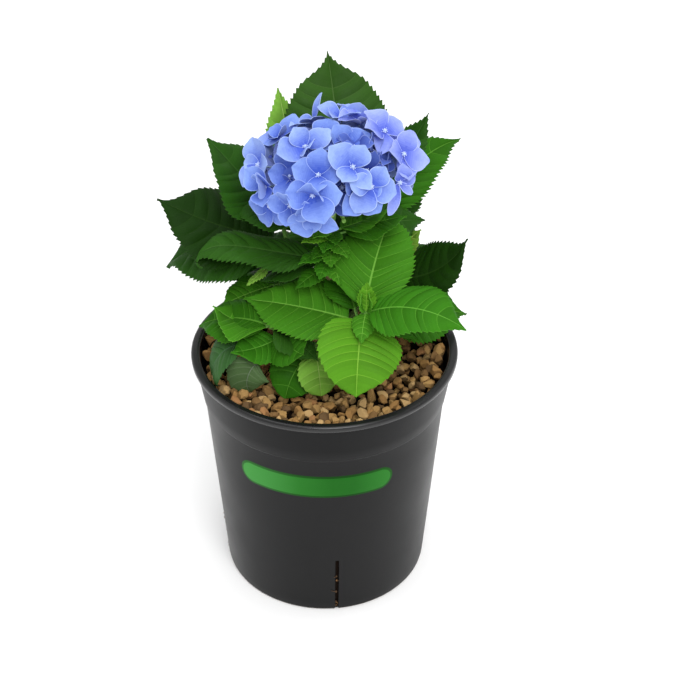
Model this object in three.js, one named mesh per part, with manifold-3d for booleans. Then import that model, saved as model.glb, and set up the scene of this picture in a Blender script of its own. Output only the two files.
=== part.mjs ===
// Potted hydrangea: a black nursery pot full of gravel, one woody stem with its canes,
// a leafy shoot on the end of every cane, and one round flower head at the top.
// Millimetres, +Z up. The origin is the middle of the pot's underside and -Y is the front.
// A turn is a compass angle seen from above: 0 is +X, 90 is +Y and 270 is the front.

import * as THREE from 'three';
import { mergeVertices } from 'three/addons/utils/BufferGeometryUtils.js';
import Module from 'manifold-3d';

const wasm = await Module();
wasm.setup();

// Driving dimensions
const GAP = 0.3;
const SEED = 7;
const GOLDEN_TURN = Math.PI * (3 - Math.sqrt(5));

const POT = {
  height: 217,
  footRadius: 87,
  footRound: 2.5,
  bodyTop: 176,
  bodyTopRadius: 99,
  bandFootRadius: 100.4,
  bandTop: 209,
  bandTopRadius: 106.6,
  lipRadius: 110,
  lipRound: 2.2,
  lipInside: 102.6,
  wall: 2.3,
  floor: 4,
  sides: 48,
};
const SLIT = { count: 4, firstTurn: -83.4, width: 3, top: 61, depth: 12 };
const GRAVEL = {
  level: 196,
  stones: 54,
  stoneRadius: 9,
  stoneHeight: 6.2,
  stoneRise: 2,
  sizeSpread: [0.75, 1.15],
  flatSpread: [0.7, 1],
  heightSpread: [0.8, 1],
  clearOfWall: 11.5,
  clearOfStem: 19,
};

const STEM = {
  foot: [3, 4, GRAVEL.level + GAP],
  top: [5, 2, 288],
  bend: 32,
  footRadius: 6.4,
  topRadius: 4,
  flare: 4.5,
  flareHeight: 9,
  sides: 10,
  steps: 12,
};
const CANE = {
  footRadius: 3.4,
  tipRadius: 2.5,
  steepness: 0.7,
  leastRise: 0.1,
  leaveShare: 0.45,
  enterShare: 0.3,
  sides: 6,
  steps: 6,
};
const SHOOT = { footRadius: 2.4, tipRadius: 1.7, sides: 7, steps: 2 };

const LEAF = {
  thickness: 1.2,
  steps: 5,
  cells: 4,
  petioleShare: 0.2,
  widthShare: 0.68,
  droop: 25,
  fold: 14,
  curl: 0.25,
  petioleWidth: 2.8,
  petioleThickness: 2.4,
  swell: 0.64,
  fade: 1.1,
  tipStart: 0.8,
  tipPinch: 0.35,
};

const HEAD = {
  centre: [6, 0, 383],
  lean: -8,
  floretRing: [60, 60, 40],
  core: [53, 53, 33],
  backFlorets: 60,
  lowestPolar: 122,
  spacing: 25,
  sepalReach: 22,
  sepalNotch: 12,
  cup: 6,
  thickness: 1.4,
  throat: 12,
  stalkRadius: 2.6,
};

// The florets that face the front: the turn and polar angle of each one's centre, and the turn of its sepals.
const FRONT_FLORETS = [
  { turn: 260, polar: 74, spin: 20 }, { turn: 263, polar: 52, spin: 0 }, { turn: 292, polar: 55, spin: 45 },
  { turn: 301, polar: 78, spin: 40 }, { turn: 347, polar: 46, spin: 70 }, { turn: 342, polar: 72, spin: 20 },
  { turn: 322, polar: 94, spin: 30 }, { turn: 218, polar: 94, spin: 65 }, { turn: 205, polar: 70, spin: 10 },
  { turn: 174, polar: 75, spin: 40 }, { turn: 184, polar: 36, spin: 15 }, { turn: 247, polar: 28, spin: 80 },
  { turn: 245, polar: 112, spin: 35 }, { turn: 112, polar: 29, spin: 60 }, { turn: 72, polar: 42, spin: 25 },
  { turn: 24, polar: 29, spin: 50 }, { turn: 313, polar: 22, spin: 5 }, { turn: 230, polar: 54, spin: 75 },
];

// Every shoot is a stem from foot to tip. A leaf stands at a share of the stem and points by turn and rise.
// Its pitch falls by droop along the blade, late sets how far out the fall comes, and roll tips it sideways.
const SHOOTS = [
  {
    name: 'crown_shoot', stemShare: 1, foot: [5, 2, 288], tip: [6, 0, 334],
    leaves: [
      { at: 0.22, turn: 188, rise: 9, length: 97, width: 54, petiole: 16, droop: 110, late: 6, roll: 4 },
      { at: 0.3, turn: 20, rise: 10, length: 62, width: 44, droop: 0 },
      { at: 0.12, turn: 274, rise: 14, length: 24, width: 20, petiole: 6, droop: 10 },
      { at: 0.6, turn: 105, rise: 18, length: 50, droop: 10 },
      { at: 0.62, turn: 258, rise: 14, length: 38, width: 26, petiole: 6, droop: 20 },
      { at: 0.68, turn: 165, rise: 16, length: 102, width: 64, petiole: 29, droop: -50 },
      { at: 0.75, turn: 12, rise: 19, length: 100, width: 70, petiole: 26, droop: -42 },
      { at: 0.85, turn: -20, rise: 4, length: 50, width: 34, petiole: 12, droop: 10 },
    ],
  },
  {
    name: 'front_shoot', stemShare: 0.3, foot: [24, -30, 262], tip: [33, -46, 292],
    leaves: [
      { at: 0.55, turn: 182, rise: 8, length: 80, width: 62, petiole: 6, droop: 5, roll: 16 },
      { at: 0.55, turn: -6, rise: 2, length: 78, width: 60, petiole: 6, droop: 25, roll: -14 },
      { at: 0.8, turn: 66, rise: 42, length: 90, width: 62, petiole: 6, droop: 15 },
      { at: 0.8, turn: 262, rise: -18, length: 71, width: 64, petiole: 6, droop: 52 },
      { at: 0.97, turn: 80, rise: 78, length: 26, width: 13, petiole: 1 },
      { at: 0.97, turn: 262, rise: 20, length: 34, width: 15, petiole: 1, droop: 70 },
    ],
  },
  {
    name: 'left_shoot', stemShare: 0.42, foot: [-20, 17, 276], tip: [-34, 28, 316],
    leaves: [
      { at: 0.9, turn: 167, rise: 11, length: 92, width: 80, petiole: 16, droop: -2 },
      { at: 0.97, turn: 146, rise: 28, length: 68, width: 56, petiole: 12, droop: 5 },
      { at: 0.45, turn: 184, rise: -2, length: 82, width: 54, droop: 2 },
      { at: 0.2, turn: 202, rise: -2, length: 48, width: 42, petiole: 10, droop: 36 },
    ],
  },
  {
    name: 'right_shoot', stemShare: 0.3, foot: [30, 14, 252], tip: [44, 18, 284],
    leaves: [
      { at: 0.9, turn: -3, rise: 24, length: 67, width: 64, droop: 0 },
      { at: 0.35, turn: -6, rise: -10, length: 66, width: 46, droop: 0 },
      { at: 0.97, turn: 38, rise: 26, length: 54 },
      { at: 0.1, turn: -38, rise: -12, length: 50, width: 40, droop: 15 },
    ],
  },
  {
    name: 'back_shoot', stemShare: 0.68, foot: [8, 42, 290], tip: [9, 64, 325],
    leaves: [
      { at: 0.95, turn: 100, rise: 73, length: 98, width: 84, droop: 2 },
      { at: 0.7, turn: 28, rise: 36, length: 90, width: 46, droop: -15 },
      { at: 0.5, turn: 88, rise: 20, length: 85, width: 60, droop: 30 },
    ],
  },
  {
    name: 'back_left_shoot', stemShare: 0.57, foot: [-14, 40, 262], tip: [-33, 86, 306],
    leaves: [
      { at: 0.97, turn: 117, rise: 83, length: 93, width: 46, petiole: 6, droop: 2 },
      { at: 0.6, turn: 152, rise: 14, length: 82, width: 58, droop: 20 },
      { at: 0.45, turn: 96, rise: 4, length: 74, width: 54, droop: 30 },
    ],
  },
  {
    name: 'right_back_shoot', stemShare: 0.5, foot: [20, 28, 256], tip: [32, 46, 296],
    leaves: [
      { at: 0.95, turn: 58, rise: 22, length: 78, width: 58, droop: 20 },
      { at: 0.95, turn: 12, rise: 24, length: 50, width: 40, droop: 10 },
      { at: 0.5, turn: 14, rise: 2, length: 66, width: 48, droop: 15 },
      { at: 0.7, turn: 86, rise: 8, length: 64, width: 44, droop: 15 },
    ],
  },
  {
    name: 'low_back_shoot', stemShare: 0.15, foot: [14, 32, 235], tip: [24, 52, 268],
    leaves: [
      { at: 0.9, turn: 60, rise: 12, length: 80, width: 58 },
      { at: 0.7, turn: 20, rise: 5, length: 70, width: 48 },
      { at: 0.6, turn: 105, rise: 5, length: 70, width: 50 },
    ],
  },
  {
    name: 'low_back_left_shoot', stemShare: 0.19, foot: [-14, 28, 230], tip: [-32, 42, 256],
    leaves: [
      { at: 0.9, turn: 150, rise: 10, length: 75, width: 54 },
      { at: 0.7, turn: 182, rise: 0, length: 60, width: 42 },
      { at: 0.6, turn: 112, rise: 0, length: 60, width: 46, droop: 30 },
    ],
  },
  {
    name: 'low_left_shoot', stemShare: 0.25, foot: [-25, -18, 225], tip: [-42, -30, 258],
    leaves: [
      { at: 0.85, turn: 170, rise: 0, length: 56, width: 42, petiole: 6, droop: 6 },
      { at: 0.97, turn: 226, rise: 10, length: 52, width: 46, petiole: 5, droop: 20 },
      { at: 0.65, turn: 210, rise: -6, length: 44, width: 34, petiole: 5 },
      { at: 0.8, turn: 296, rise: -4, length: 42, width: 36, petiole: 5 },
      { at: 0.35, turn: 194, rise: -10, length: 52, width: 38, petiole: 10, droop: 40 },
      { at: 0.35, turn: 234, rise: -6, length: 46, width: 38, petiole: 8, droop: 55 },
    ],
  },
  {
    name: 'low_front_shoot', stemShare: 0.1, foot: [-8, -20, 222], tip: [-8, -33, 242],
    leaves: [
      { at: 0.6, turn: 236, rise: -4, length: 44, width: 38, petiole: 6, droop: 55 },
      { at: 0.9, turn: 280, rise: -6, length: 45, width: 38, petiole: 5, droop: 58 },
    ],
  },
];

const DEGREE = Math.PI / 180;

const MATERIALS = {
  pot: new THREE.MeshStandardMaterial({ color: 0x323234, roughness: 0.5, metalness: 0 }),
  gravel: new THREE.MeshStandardMaterial({ color: 0x8a6a48, roughness: 0.95, metalness: 0 }),
  bark: new THREE.MeshStandardMaterial({ color: 0x6f6a3c, roughness: 0.9, metalness: 0 }),
  cane: new THREE.MeshStandardMaterial({ color: 0x6d8a3e, roughness: 0.8, metalness: 0 }),
  leaf: new THREE.MeshStandardMaterial({ color: 0x357f28, roughness: 0.6, metalness: 0 }),
  flower: new THREE.MeshStandardMaterial({ color: 0x7c90e6, roughness: 0.7, metalness: 0 }),
};

// Seeded numbers from 0 to 1, the same on every run.
function seeded(seed) {
  let state = seed;
  return () => {
    state = (state * 16807) % 2147483647;
    return state / 2147483647;
  };
}

function between(random, [low, high]) {
  return low + (high - low) * random();
}

function vector(values) {
  return new THREE.Vector3(...values);
}

// A closed geometry becomes a solid that can be joined and cut.
function solid(geometry) {
  geometry.deleteAttribute('normal');
  geometry.deleteAttribute('uv');
  const merged = mergeVertices(geometry, 1e-4);
  return new wasm.Manifold(new wasm.Mesh({
    numProp: 3,
    vertProperties: new Float32Array(merged.attributes.position.array),
    triVerts: new Uint32Array(merged.index.array),
  }));
}

function joined(solids) {
  return solids.reduce((whole, next) => whole.add(next));
}

// A joined solid becomes a mesh of its largest body, so no loose scrap stays in it.
function named(name, body, material) {
  const largest = body.decompose().sort((a, b) => b.volume() - a.volume())[0];
  const data = largest.getMesh();
  const geometry = new THREE.BufferGeometry();
  geometry.setAttribute('position', new THREE.BufferAttribute(data.vertProperties, 3));
  geometry.setIndex(new THREE.BufferAttribute(data.triVerts, 1));
  geometry.computeVertexNormals();
  const mesh = new THREE.Mesh(geometry, material);
  mesh.name = name;
  return mesh;
}

// A round limb along a curve, with a radius for each share of its length.
function limb(curve, radiusAt, sides, steps) {
  const geometry = new THREE.CylinderGeometry(1, 1, 1, sides, steps);
  const frames = curve.computeFrenetFrames(steps);
  const place = geometry.attributes.position;
  for (let i = 0; i < place.count; i += 1) {
    const step = Math.round((place.getY(i) + 0.5) * steps);
    const radius = radiusAt(step / steps);
    const point = curve.getPointAt(step / steps);
    point.addScaledVector(frames.normals[step], place.getX(i) * radius);
    point.addScaledVector(frames.binormals[step], -place.getZ(i) * radius);
    place.setXYZ(i, point.x, point.y, point.z);
  }
  return solid(geometry);
}

function taper(start, end) {
  return (share) => start + (end - start) * share;
}

// Pot: a turned shell with a rolled lip, a shoulder band and slits up from its foot
function lathe(profile, sides) {
  const points = profile.map(([radius, height]) => new THREE.Vector2(radius, height));
  return solid(new THREE.LatheGeometry(points, sides).rotateX(Math.PI / 2));
}

function potInside(height) {
  if (height <= POT.bodyTop) {
    const share = height / POT.bodyTop;
    return POT.footRadius + (POT.bodyTopRadius - POT.footRadius) * share - POT.wall;
  }
  const bandFoot = POT.bodyTopRadius - POT.wall;
  return bandFoot + (POT.lipInside - bandFoot) * (height - POT.bodyTop) / (POT.height - POT.bodyTop);
}

function potShell() {
  const lipFoot = POT.bandTop + 1;
  const lipEdge = POT.height - POT.lipRound;
  return lathe([
    [0, 0],
    [POT.footRadius - POT.footRound, 0],
    [POT.footRadius, POT.footRound],
    [POT.bodyTopRadius, POT.bodyTop],
    [POT.bandFootRadius, POT.bodyTop + 1],
    [POT.bandTopRadius, POT.bandTop],
    [POT.lipRadius, lipFoot],
    [POT.lipRadius, lipEdge],
    [POT.lipRadius - POT.lipRound, POT.height],
    [POT.lipInside + POT.lipRound, POT.height],
    [POT.lipInside, lipEdge],
    [potInside(POT.bodyTop), POT.bodyTop],
    [potInside(POT.floor), POT.floor],
    [0, POT.floor],
  ], POT.sides);
}

function pot() {
  let shell = potShell();
  for (let i = 0; i < SLIT.count; i += 1) {
    const turn = (SLIT.firstTurn + i * 360 / SLIT.count) * DEGREE;
    const cut = new THREE.BoxGeometry(SLIT.depth, SLIT.width, SLIT.top * 2);
    cut.translate(POT.footRadius, 0, 0).rotateZ(turn);
    shell = shell.subtract(solid(cut));
  }
  return shell;
}

// Gravel: the pot's filling, with loose stones standing out of its top
function stone(random, place) {
  const geometry = new THREE.IcosahedronGeometry(1, 0);
  const size = GRAVEL.stoneRadius * between(random, GRAVEL.sizeSpread);
  const breadth = size * between(random, GRAVEL.flatSpread);
  const height = GRAVEL.stoneHeight * between(random, GRAVEL.heightSpread);
  geometry.rotateX(random() * Math.PI).rotateY(random() * Math.PI);
  geometry.scale(size, breadth, height).rotateZ(random() * Math.PI);
  geometry.translate(place.x, place.y, place.z);
  return solid(geometry);
}

function gravelBed() {
  const random = seeded(SEED);
  const edge = potInside(GRAVEL.level) - GAP;
  const filling = lathe([
    [0, POT.floor + GAP],
    [potInside(POT.floor) - GAP, POT.floor + GAP],
    [potInside(POT.bodyTop) - GAP, POT.bodyTop],
    [edge, GRAVEL.level],
    [0, GRAVEL.level],
  ], POT.sides);
  const pieces = [filling];
  const reach = edge - GRAVEL.clearOfWall;
  for (let i = 0; i < GRAVEL.stones; i += 1) {
    const distance = reach * Math.sqrt((i + 0.5) / GRAVEL.stones);
    const turn = i * GOLDEN_TURN;
    const height = GRAVEL.level + GRAVEL.stoneRise;
    const place = new THREE.Vector3(distance * Math.cos(turn), distance * Math.sin(turn), height);
    const fromStem = Math.hypot(place.x - STEM.foot[0], place.y - STEM.foot[1]);
    if (fromStem > GRAVEL.clearOfStem) {
      pieces.push(stone(random, place));
    }
  }
  return joined(pieces);
}

// Main stem: leaning, tapering, with a root flare above its flat foot
function shootDirection(shoot) {
  return vector(shoot.tip).sub(vector(shoot.foot)).normalize();
}

const stemCurve = new THREE.CubicBezierCurve3(
  vector(STEM.foot),
  vector(STEM.foot).add(new THREE.Vector3(0, 0, STEM.bend)),
  vector(STEM.top).addScaledVector(shootDirection(SHOOTS[0]), -STEM.bend),
  vector(STEM.top),
);

function stemRadius(share) {
  const height = share * (STEM.top[2] - STEM.foot[2]);
  const flare = STEM.flare * Math.exp(-height / STEM.flareHeight);
  return taper(STEM.footRadius, STEM.topRadius)(share) + flare;
}

function mainStem(extra) {
  return limb(stemCurve, (share) => stemRadius(share) + extra, STEM.sides, STEM.steps);
}

// Canes: each leaves the main stem sideways and bends up into the foot of its shoot
function cane(shoot, fatStem) {
  const start = stemCurve.getPointAt(shoot.stemShare);
  const end = vector(shoot.foot);
  const span = end.distanceTo(start);
  const out = new THREE.Vector3(end.x - start.x, end.y - start.y, 0).normalize();
  out.z = Math.max(CANE.leastRise, (end.z - start.z) / span * CANE.steepness);
  const leave = start.clone().addScaledVector(out.normalize(), span * CANE.leaveShare);
  const enter = end.clone().addScaledVector(shootDirection(shoot), -span * CANE.enterShare);
  const curve = new THREE.CubicBezierCurve3(start, leave, enter, end);
  const radius = taper(CANE.footRadius, CANE.tipRadius);
  return limb(curve, radius, CANE.sides, CANE.steps).subtract(fatStem);
}

// Leaves: a bent blade with a drip tip, on a short petiole rooted in the shoot's stem
function halfWidthShare(share) {
  const shape = (s) => s ** LEAF.swell * (1 - s) ** LEAF.fade;
  const widest = LEAF.swell / (LEAF.swell + LEAF.fade);
  const pinch = LEAF.tipPinch * THREE.MathUtils.smoothstep(share, LEAF.tipStart, 1);
  return shape(share) / shape(widest) * (1 - pinch);
}

function leafAxes(leaf, share) {
  const turn = leaf.turn * DEGREE;
  const pitch = (leaf.rise - leaf.droop * share ** leaf.late) * DEGREE;
  const roll = leaf.roll * DEGREE;
  const ahead = new THREE.Vector3(Math.cos(turn), Math.sin(turn), 0);
  const along = ahead.clone().multiplyScalar(Math.cos(pitch));
  along.z = Math.sin(pitch);
  const level = ahead.clone().multiplyScalar(-Math.sin(pitch));
  level.z = Math.cos(pitch);
  const across = level.clone().cross(along);
  const up = level.clone().multiplyScalar(Math.cos(roll)).addScaledVector(across, Math.sin(roll));
  const side = across.multiplyScalar(Math.cos(roll)).addScaledVector(level, -Math.sin(roll));
  return { along, up, side };
}

function withDefaults(leaf) {
  return {
    width: leaf.length * LEAF.widthShare,
    petiole: leaf.length * LEAF.petioleShare,
    droop: LEAF.droop,
    late: 1,
    roll: 0,
    ...leaf,
  };
}

// Points along the rib: the root in the stem, then one for each step of the blade.
function ribPoints(root, leaf) {
  const parts = 8;
  const points = [root, root.clone().addScaledVector(leafAxes(leaf, 0).along, leaf.petiole)];
  for (let step = 0; step < LEAF.steps; step += 1) {
    const point = points[step + 1].clone();
    for (let part = 0; part < parts; part += 1) {
      const share = (step + (part + 0.5) / parts) / LEAF.steps;
      point.addScaledVector(leafAxes(leaf, share).along, leaf.length / LEAF.steps / parts);
    }
    points.push(point);
  }
  return points;
}

function leafSolid(root, leaf) {
  const stations = LEAF.steps + 1;
  const geometry = new THREE.BoxGeometry(1, 1, 1, stations, LEAF.cells, 1);
  const place = geometry.attributes.position;
  const rib = ribPoints(root, leaf);
  const half = leaf.width / 2;
  for (let i = 0; i < place.count; i += 1) {
    const station = Math.round((place.getX(i) + 0.5) * stations);
    const share = Math.max(0, (station - 1) / LEAF.steps);
    const stalk = station < 2;
    const tip = station === stations;
    const thickness = stalk ? LEAF.petioleThickness : LEAF.thickness;
    const narrowest = (tip ? LEAF.thickness : LEAF.petioleWidth) / 2;
    const reach = stalk ? narrowest : Math.max(halfWidthShare(share) * half, narrowest);
    const x = place.getY(i) * 2 * reach;
    const lift = Math.abs(x) * Math.tan(LEAF.fold * DEGREE) - LEAF.curl * x * x / half;
    const { up, side } = leafAxes(leaf, share);
    const point = rib[station].clone().addScaledVector(side, x);
    point.addScaledVector(up, lift + place.getZ(i) * thickness);
    place.setXYZ(i, point.x, point.y, point.z);
  }
  return solid(geometry);
}

function leafyShoot(shoot) {
  const foot = vector(shoot.foot).addScaledVector(shootDirection(shoot), GAP);
  const tip = vector(shoot.tip);
  const radius = taper(SHOOT.footRadius, SHOOT.tipRadius);
  const pieces = [limb(new THREE.LineCurve3(foot, tip), radius, SHOOT.sides, SHOOT.steps)];
  for (const sizes of shoot.leaves) {
    const root = vector(shoot.foot).lerp(tip, sizes.at);
    pieces.push(leafSolid(root, withDefaults(sizes)));
  }
  return joined(pieces);
}

// Flower head: a core on a stalk, with four-sepalled florets set all round it
function wayOut(floret) {
  const turn = floret.turn * DEGREE;
  const polar = floret.polar * DEGREE;
  return new THREE.Vector3(
    Math.sin(polar) * Math.cos(turn),
    Math.sin(polar) * Math.sin(turn),
    Math.cos(polar),
  );
}

// Round the back the golden angle deals out more, and one that would crowd another is skipped.
function allFlorets() {
  const random = seeded(SEED);
  const florets = [...FRONT_FLORETS];
  const lowest = Math.cos(HEAD.lowestPolar * DEGREE);
  for (let i = 0; i < HEAD.backFlorets; i += 1) {
    const height = 1 - (1 - lowest) * (i + 0.5) / HEAD.backFlorets;
    const floret = {
      turn: i * GOLDEN_TURN / DEGREE,
      polar: Math.acos(height) / DEGREE,
      spin: 90 * random(),
    };
    const way = wayOut(floret);
    if (florets.every((other) => way.angleTo(wayOut(other)) > HEAD.spacing * DEGREE)) {
      florets.push(floret);
    }
  }
  return florets;
}

function floretSolid(floret) {
  const ring = vector(HEAD.floretRing);
  const way = wayOut(floret);
  const place = way.clone().multiply(ring);
  const facing = way.clone().divide(ring).normalize().add(way).normalize();
  const down = wayOut({ turn: floret.turn, polar: floret.polar + 90 });
  down.addScaledVector(facing, -down.dot(facing)).normalize();
  const side = facing.clone().cross(down);
  const geometry = new THREE.CylinderGeometry(1, 1, 1, 8, 1).rotateX(Math.PI / 2);
  const points = geometry.attributes.position;
  for (let i = 0; i < points.count; i += 1) {
    const angle = Math.atan2(points.getY(i), points.getX(i));
    const rim = Math.hypot(points.getX(i), points.getY(i)) > 0.5;
    const under = points.getZ(i) < 0;
    const onSepal = Math.cos(4 * angle) > 0;
    const reach = !rim ? 0 : (onSepal ? HEAD.sepalReach : HEAD.sepalNotch);
    const throat = under && !rim ? HEAD.throat : 0;
    const lift = HEAD.cup * (reach / HEAD.sepalReach) ** 2 - (under ? HEAD.thickness : 0) - throat;
    const bearing = angle + floret.spin * DEGREE;
    const point = place.clone().addScaledVector(down, reach * Math.cos(bearing));
    point.addScaledVector(side, reach * Math.sin(bearing)).addScaledVector(facing, lift);
    points.setXYZ(i, point.x, point.y, point.z);
  }
  return solid(leaning(geometry));
}

function leaning(geometry) {
  return geometry.rotateY(HEAD.lean * DEGREE).translate(...HEAD.centre);
}

function flowerHead() {
  const core = solid(leaning(new THREE.SphereGeometry(1, 14, 9).rotateX(Math.PI / 2).scale(...HEAD.core)));
  const ahead = shootDirection(SHOOTS[0]);
  const foot = vector(SHOOTS[0].tip).addScaledVector(ahead, GAP);
  const bend = foot.clone().addScaledVector(ahead, HEAD.core[2] / 2);
  const stalkCurve = new THREE.QuadraticBezierCurve3(foot, bend, vector(HEAD.centre));
  const stalk = limb(stalkCurve, () => HEAD.stalkRadius, 8, 3);
  return joined([core, stalk, ...allFlorets().map(floretSolid)]);
}

const plant = new THREE.Group();
plant.name = 'potted_hydrangea';
const fatStem = mainStem(GAP);
plant.add(named('pot', pot(), MATERIALS.pot));
plant.add(named('gravel_bed', gravelBed(), MATERIALS.gravel));
plant.add(named('main_stem', mainStem(0), MATERIALS.bark));
for (const shoot of SHOOTS) {
  if (shoot.stemShare < 1) {
    const caneName = shoot.name.replace('shoot', 'cane');
    plant.add(named(caneName, cane(shoot, fatStem), MATERIALS.cane));
  }
  plant.add(named(shoot.name, leafyShoot(shoot), MATERIALS.leaf));
}
plant.add(named('flower_head', flowerHead(), MATERIALS.flower));

export default plant;
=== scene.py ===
import math

import bmesh
import bpy
import numpy as np
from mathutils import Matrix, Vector


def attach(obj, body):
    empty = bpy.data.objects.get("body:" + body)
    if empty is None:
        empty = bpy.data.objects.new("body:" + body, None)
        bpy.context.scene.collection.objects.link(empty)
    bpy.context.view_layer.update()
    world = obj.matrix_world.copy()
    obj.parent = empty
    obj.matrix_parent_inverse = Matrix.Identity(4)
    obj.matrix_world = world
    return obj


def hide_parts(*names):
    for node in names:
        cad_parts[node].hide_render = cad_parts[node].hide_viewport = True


# A potted hydrangea: black nursery pot, gravel, woody stem, green canes, toothed leaves and a blue bloom.
# Sizes are in millimetres and become metres when a piece is made. +Z is up and -Y is the front.
# A turn is a compass angle seen from above: 0 is +X, 90 is +Y and 270 is the front.

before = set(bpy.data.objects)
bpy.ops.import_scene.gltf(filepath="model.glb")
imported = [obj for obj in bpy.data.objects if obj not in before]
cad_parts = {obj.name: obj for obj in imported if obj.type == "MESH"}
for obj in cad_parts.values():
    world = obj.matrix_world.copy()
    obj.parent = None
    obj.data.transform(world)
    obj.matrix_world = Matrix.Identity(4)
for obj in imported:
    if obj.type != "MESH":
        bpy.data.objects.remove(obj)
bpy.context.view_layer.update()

MM = 0.001
SEED = 7
GOLDEN_TURN = 180 * (3 - math.sqrt(5))
UP = np.array([0.0, 0.0, 1.0])

# Pot
POT_HEIGHT = 217
FOOT_RADIUS = 87
FOOT_ROUND = 2.5
BODY_TOP = 176
BODY_TOP_RADIUS = 100.4
BAND_FOOT_RADIUS = 101.6
BAND_TOP = 209
BAND_TOP_RADIUS = 106.6
LIP_RADIUS = 110
LIP_ROUND = 2.2
LIP_INSIDE = 102.6
POT_WALL = 2.3
POT_FLOOR = 4
DUST_HEIGHT = 1.6
SLIT_TURNS = (-83.4, 6.6, 96.6, 186.6)
SLIT_WIDTH = 3
SLIT_HALF_TURN = math.degrees(SLIT_WIDTH / 2 / FOOT_RADIUS)
SLIT_TOP = 61
SLIT_FLOOR_DEPTH = 6
TURN_STEPS = 180
WALL_HEIGHTS = (POT_FLOOR, 10, 22, 36, 50, SLIT_TOP, 80, 100, 120, 140, 160, BODY_TOP - 1.2)
INSIDE_HEIGHTS = (POT_HEIGHT - LIP_ROUND, 200, BODY_TOP, 140, 100, SLIT_TOP, 30, POT_FLOOR)
SOIL_HEIGHTS = (20, 40, SLIT_TOP, 100, 140, BODY_TOP)
LIP_FOOT = BAND_TOP + 3
# Tops of the foot, body and band, and the looks of these and the lip
POT_ZONES = (DUST_HEIGHT, BODY_TOP + 1, LIP_FOOT - 0.9)
POT_LOOKS = np.array([1, 0, 2, 3])

# Green band on the pot's front
PILL_TURNS = (-133, -56)
PILL_MIDDLE = 147.5
PILL_HALF_HEIGHT = 11.7
PILL_RIM = 2.1
PILL_RELIEF = 0.35
PILL_EDGE_RELIEF = 0.03
# Greens from the band's left end to its right, each with its share of the way
PILL_GREENS = (
    (0.0, (0.053, 0.268, 0.049)),
    (0.2, (0.039, 0.212, 0.036)),
    (0.38, (0.019, 0.147, 0.016)),
    (0.6, (0.0107, 0.108, 0.0087)),
    (0.75, (0.0107, 0.108, 0.0090)),
    (1.0, (0.024, 0.172, 0.020)),
)

# Gravel
GRAVEL_LEVEL = 196
SOIL_LEVEL = 192.5
GRAVEL_BANK = 11
GRAVEL_BANK_RADII = (66, 96)
TOP_STONES = 380
LOW_STONES = 260
STONE_RADIUS = (3.6, 7.0)
STONE_FLATNESS = (0.62, 0.95)
STONE_CUTS = 11
# Painted light and shade: how far up a stone's face looks parts its lighter, middle and darker copies
STONE_PAINTED_SHADE_LIMITS = (-0.05, 0.45)
STONE_TURN_CHANCE = 3
STONE_SHIFT_CHANCE = 1.5
LOW_STONE_RISE = (-1, 2)
TOP_STONE_RISE = (1.5, 4)
STONE_EDGE = 99
STONE_REACH = 101.2
STONE_FRONT_DIP = 3.4
STEM_CLEARANCE = 13
FIBRE_HEIGHTS = (5, 9, 22, 36, 41)
FIBRE_RADII = (0.5, 0.18)

# Stem, canes and shoots
GAP = 0.3
STEM_FOOT = np.array([3, 4, GRAVEL_LEVEL + GAP])
STEM_TOP = np.array([5, 2, 288.0])
STEM_BEND = 32
STEM_RADII = (6.4, 4)
STEM_FLARE = 4.5
STEM_FLARE_HEIGHT = 9
CANE_RADII = (3.4, 2.5)
CANE_STEEPNESS = 0.7
CANE_LEAST_RISE = 0.1
CANE_LEAVE_SHARE = 0.45
CANE_ENTER_SHARE = 0.3
CANE_SPECKS = 16
SHOOT_RADII = (2.4, 1.7)
PETIOLE_RADII = (1.35, 1.1)

# Leaves
LEAF_PETIOLE_SHARE = 0.2
LEAF_DROOP = 25
LEAF_FOLD = 14
LEAF_CURL = 0.25
LEAF_SWELL = 0.64
LEAF_FADE = 1.1
LEAF_TIP_START = 0.72
LEAF_TIP_PINCH = 0.58
LEAF_THICKNESS = 0.5
RIB_STEPS = 160
VEIN_SWEEP = 0.3
VEIN_FAN = 0.06
VEIN_BOW = 1.3
VEIN_HALF_WIDTH = 0.34
VEIN_KEEL = 0.3
VEIN_SPAN = (0.2, 0.78)
RIB_GROOVE = 0.3
RIB_KEEL = 0.9
FULL_RIB_LENGTH = 70
EDGE_DROP_SHARE = 0.012
WAVE_SHARE = 0.02
TOOTH_PITCH = 4.8
TOOTH_DEPTH = 0.025
TOOTH_SPAN = (0.1, 0.95)
FULL_TOOTH_LENGTH = 45
TOOTH_PHASES = np.array([0, 0.35, 0.68, 0.88])
TOOTH_PROFILE = np.array([0, 0.45, 1, 0.3])
LEAF_COLUMNS = np.array([0, 0, 0.1, 0.22, 0.36, 0.5, 0.64, 0.78, 0.9, 1])

# Flower head
HEAD_CENTRE = np.array([6, 0, 381.5])
HEAD_LEAN = math.radians(-10)
FLORET_RING = np.array([54, 51, 32.0])
INNER_RING_SHARE = 0.74
BACK_FLORETS = 84
INNER_FLORETS = 44
LOWEST_POLAR = 122
FLORET_SPACING = 20
FLORET_NOD = 0.14
FRONT_PULL = 0.4
EDGE_PULL = 0.9
FRONT_LIMIT = 0.12
SEPAL_REACH = 18.6
SEPAL_BREADTH = 0.50
SEPAL_THICKNESS = 0.35
SEPAL_RIM = 0.5
INNER_REACH_SHARE = 0.86
EYE_RADIUS = 1.6
EYE_SEAT_RADIUS = 2.2
EYE_HEIGHT = 2.2
STAMENS = 6
STAMEN_RING = 1.9
STAMEN_RADIUS = 0.45
RAY_SHARE = 0.42
STALK_RADII = (2.6, 2.6 * 0.8)
RAY_RADII = (1.7, 1.2)
PEDICEL_RADII = (0.8, 0.65)
BUD_STALK_RADII = (0.5, 0.5)
RAYS = 13
LOWEST_RAY = 100
RAY_BUDS = 7

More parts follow.
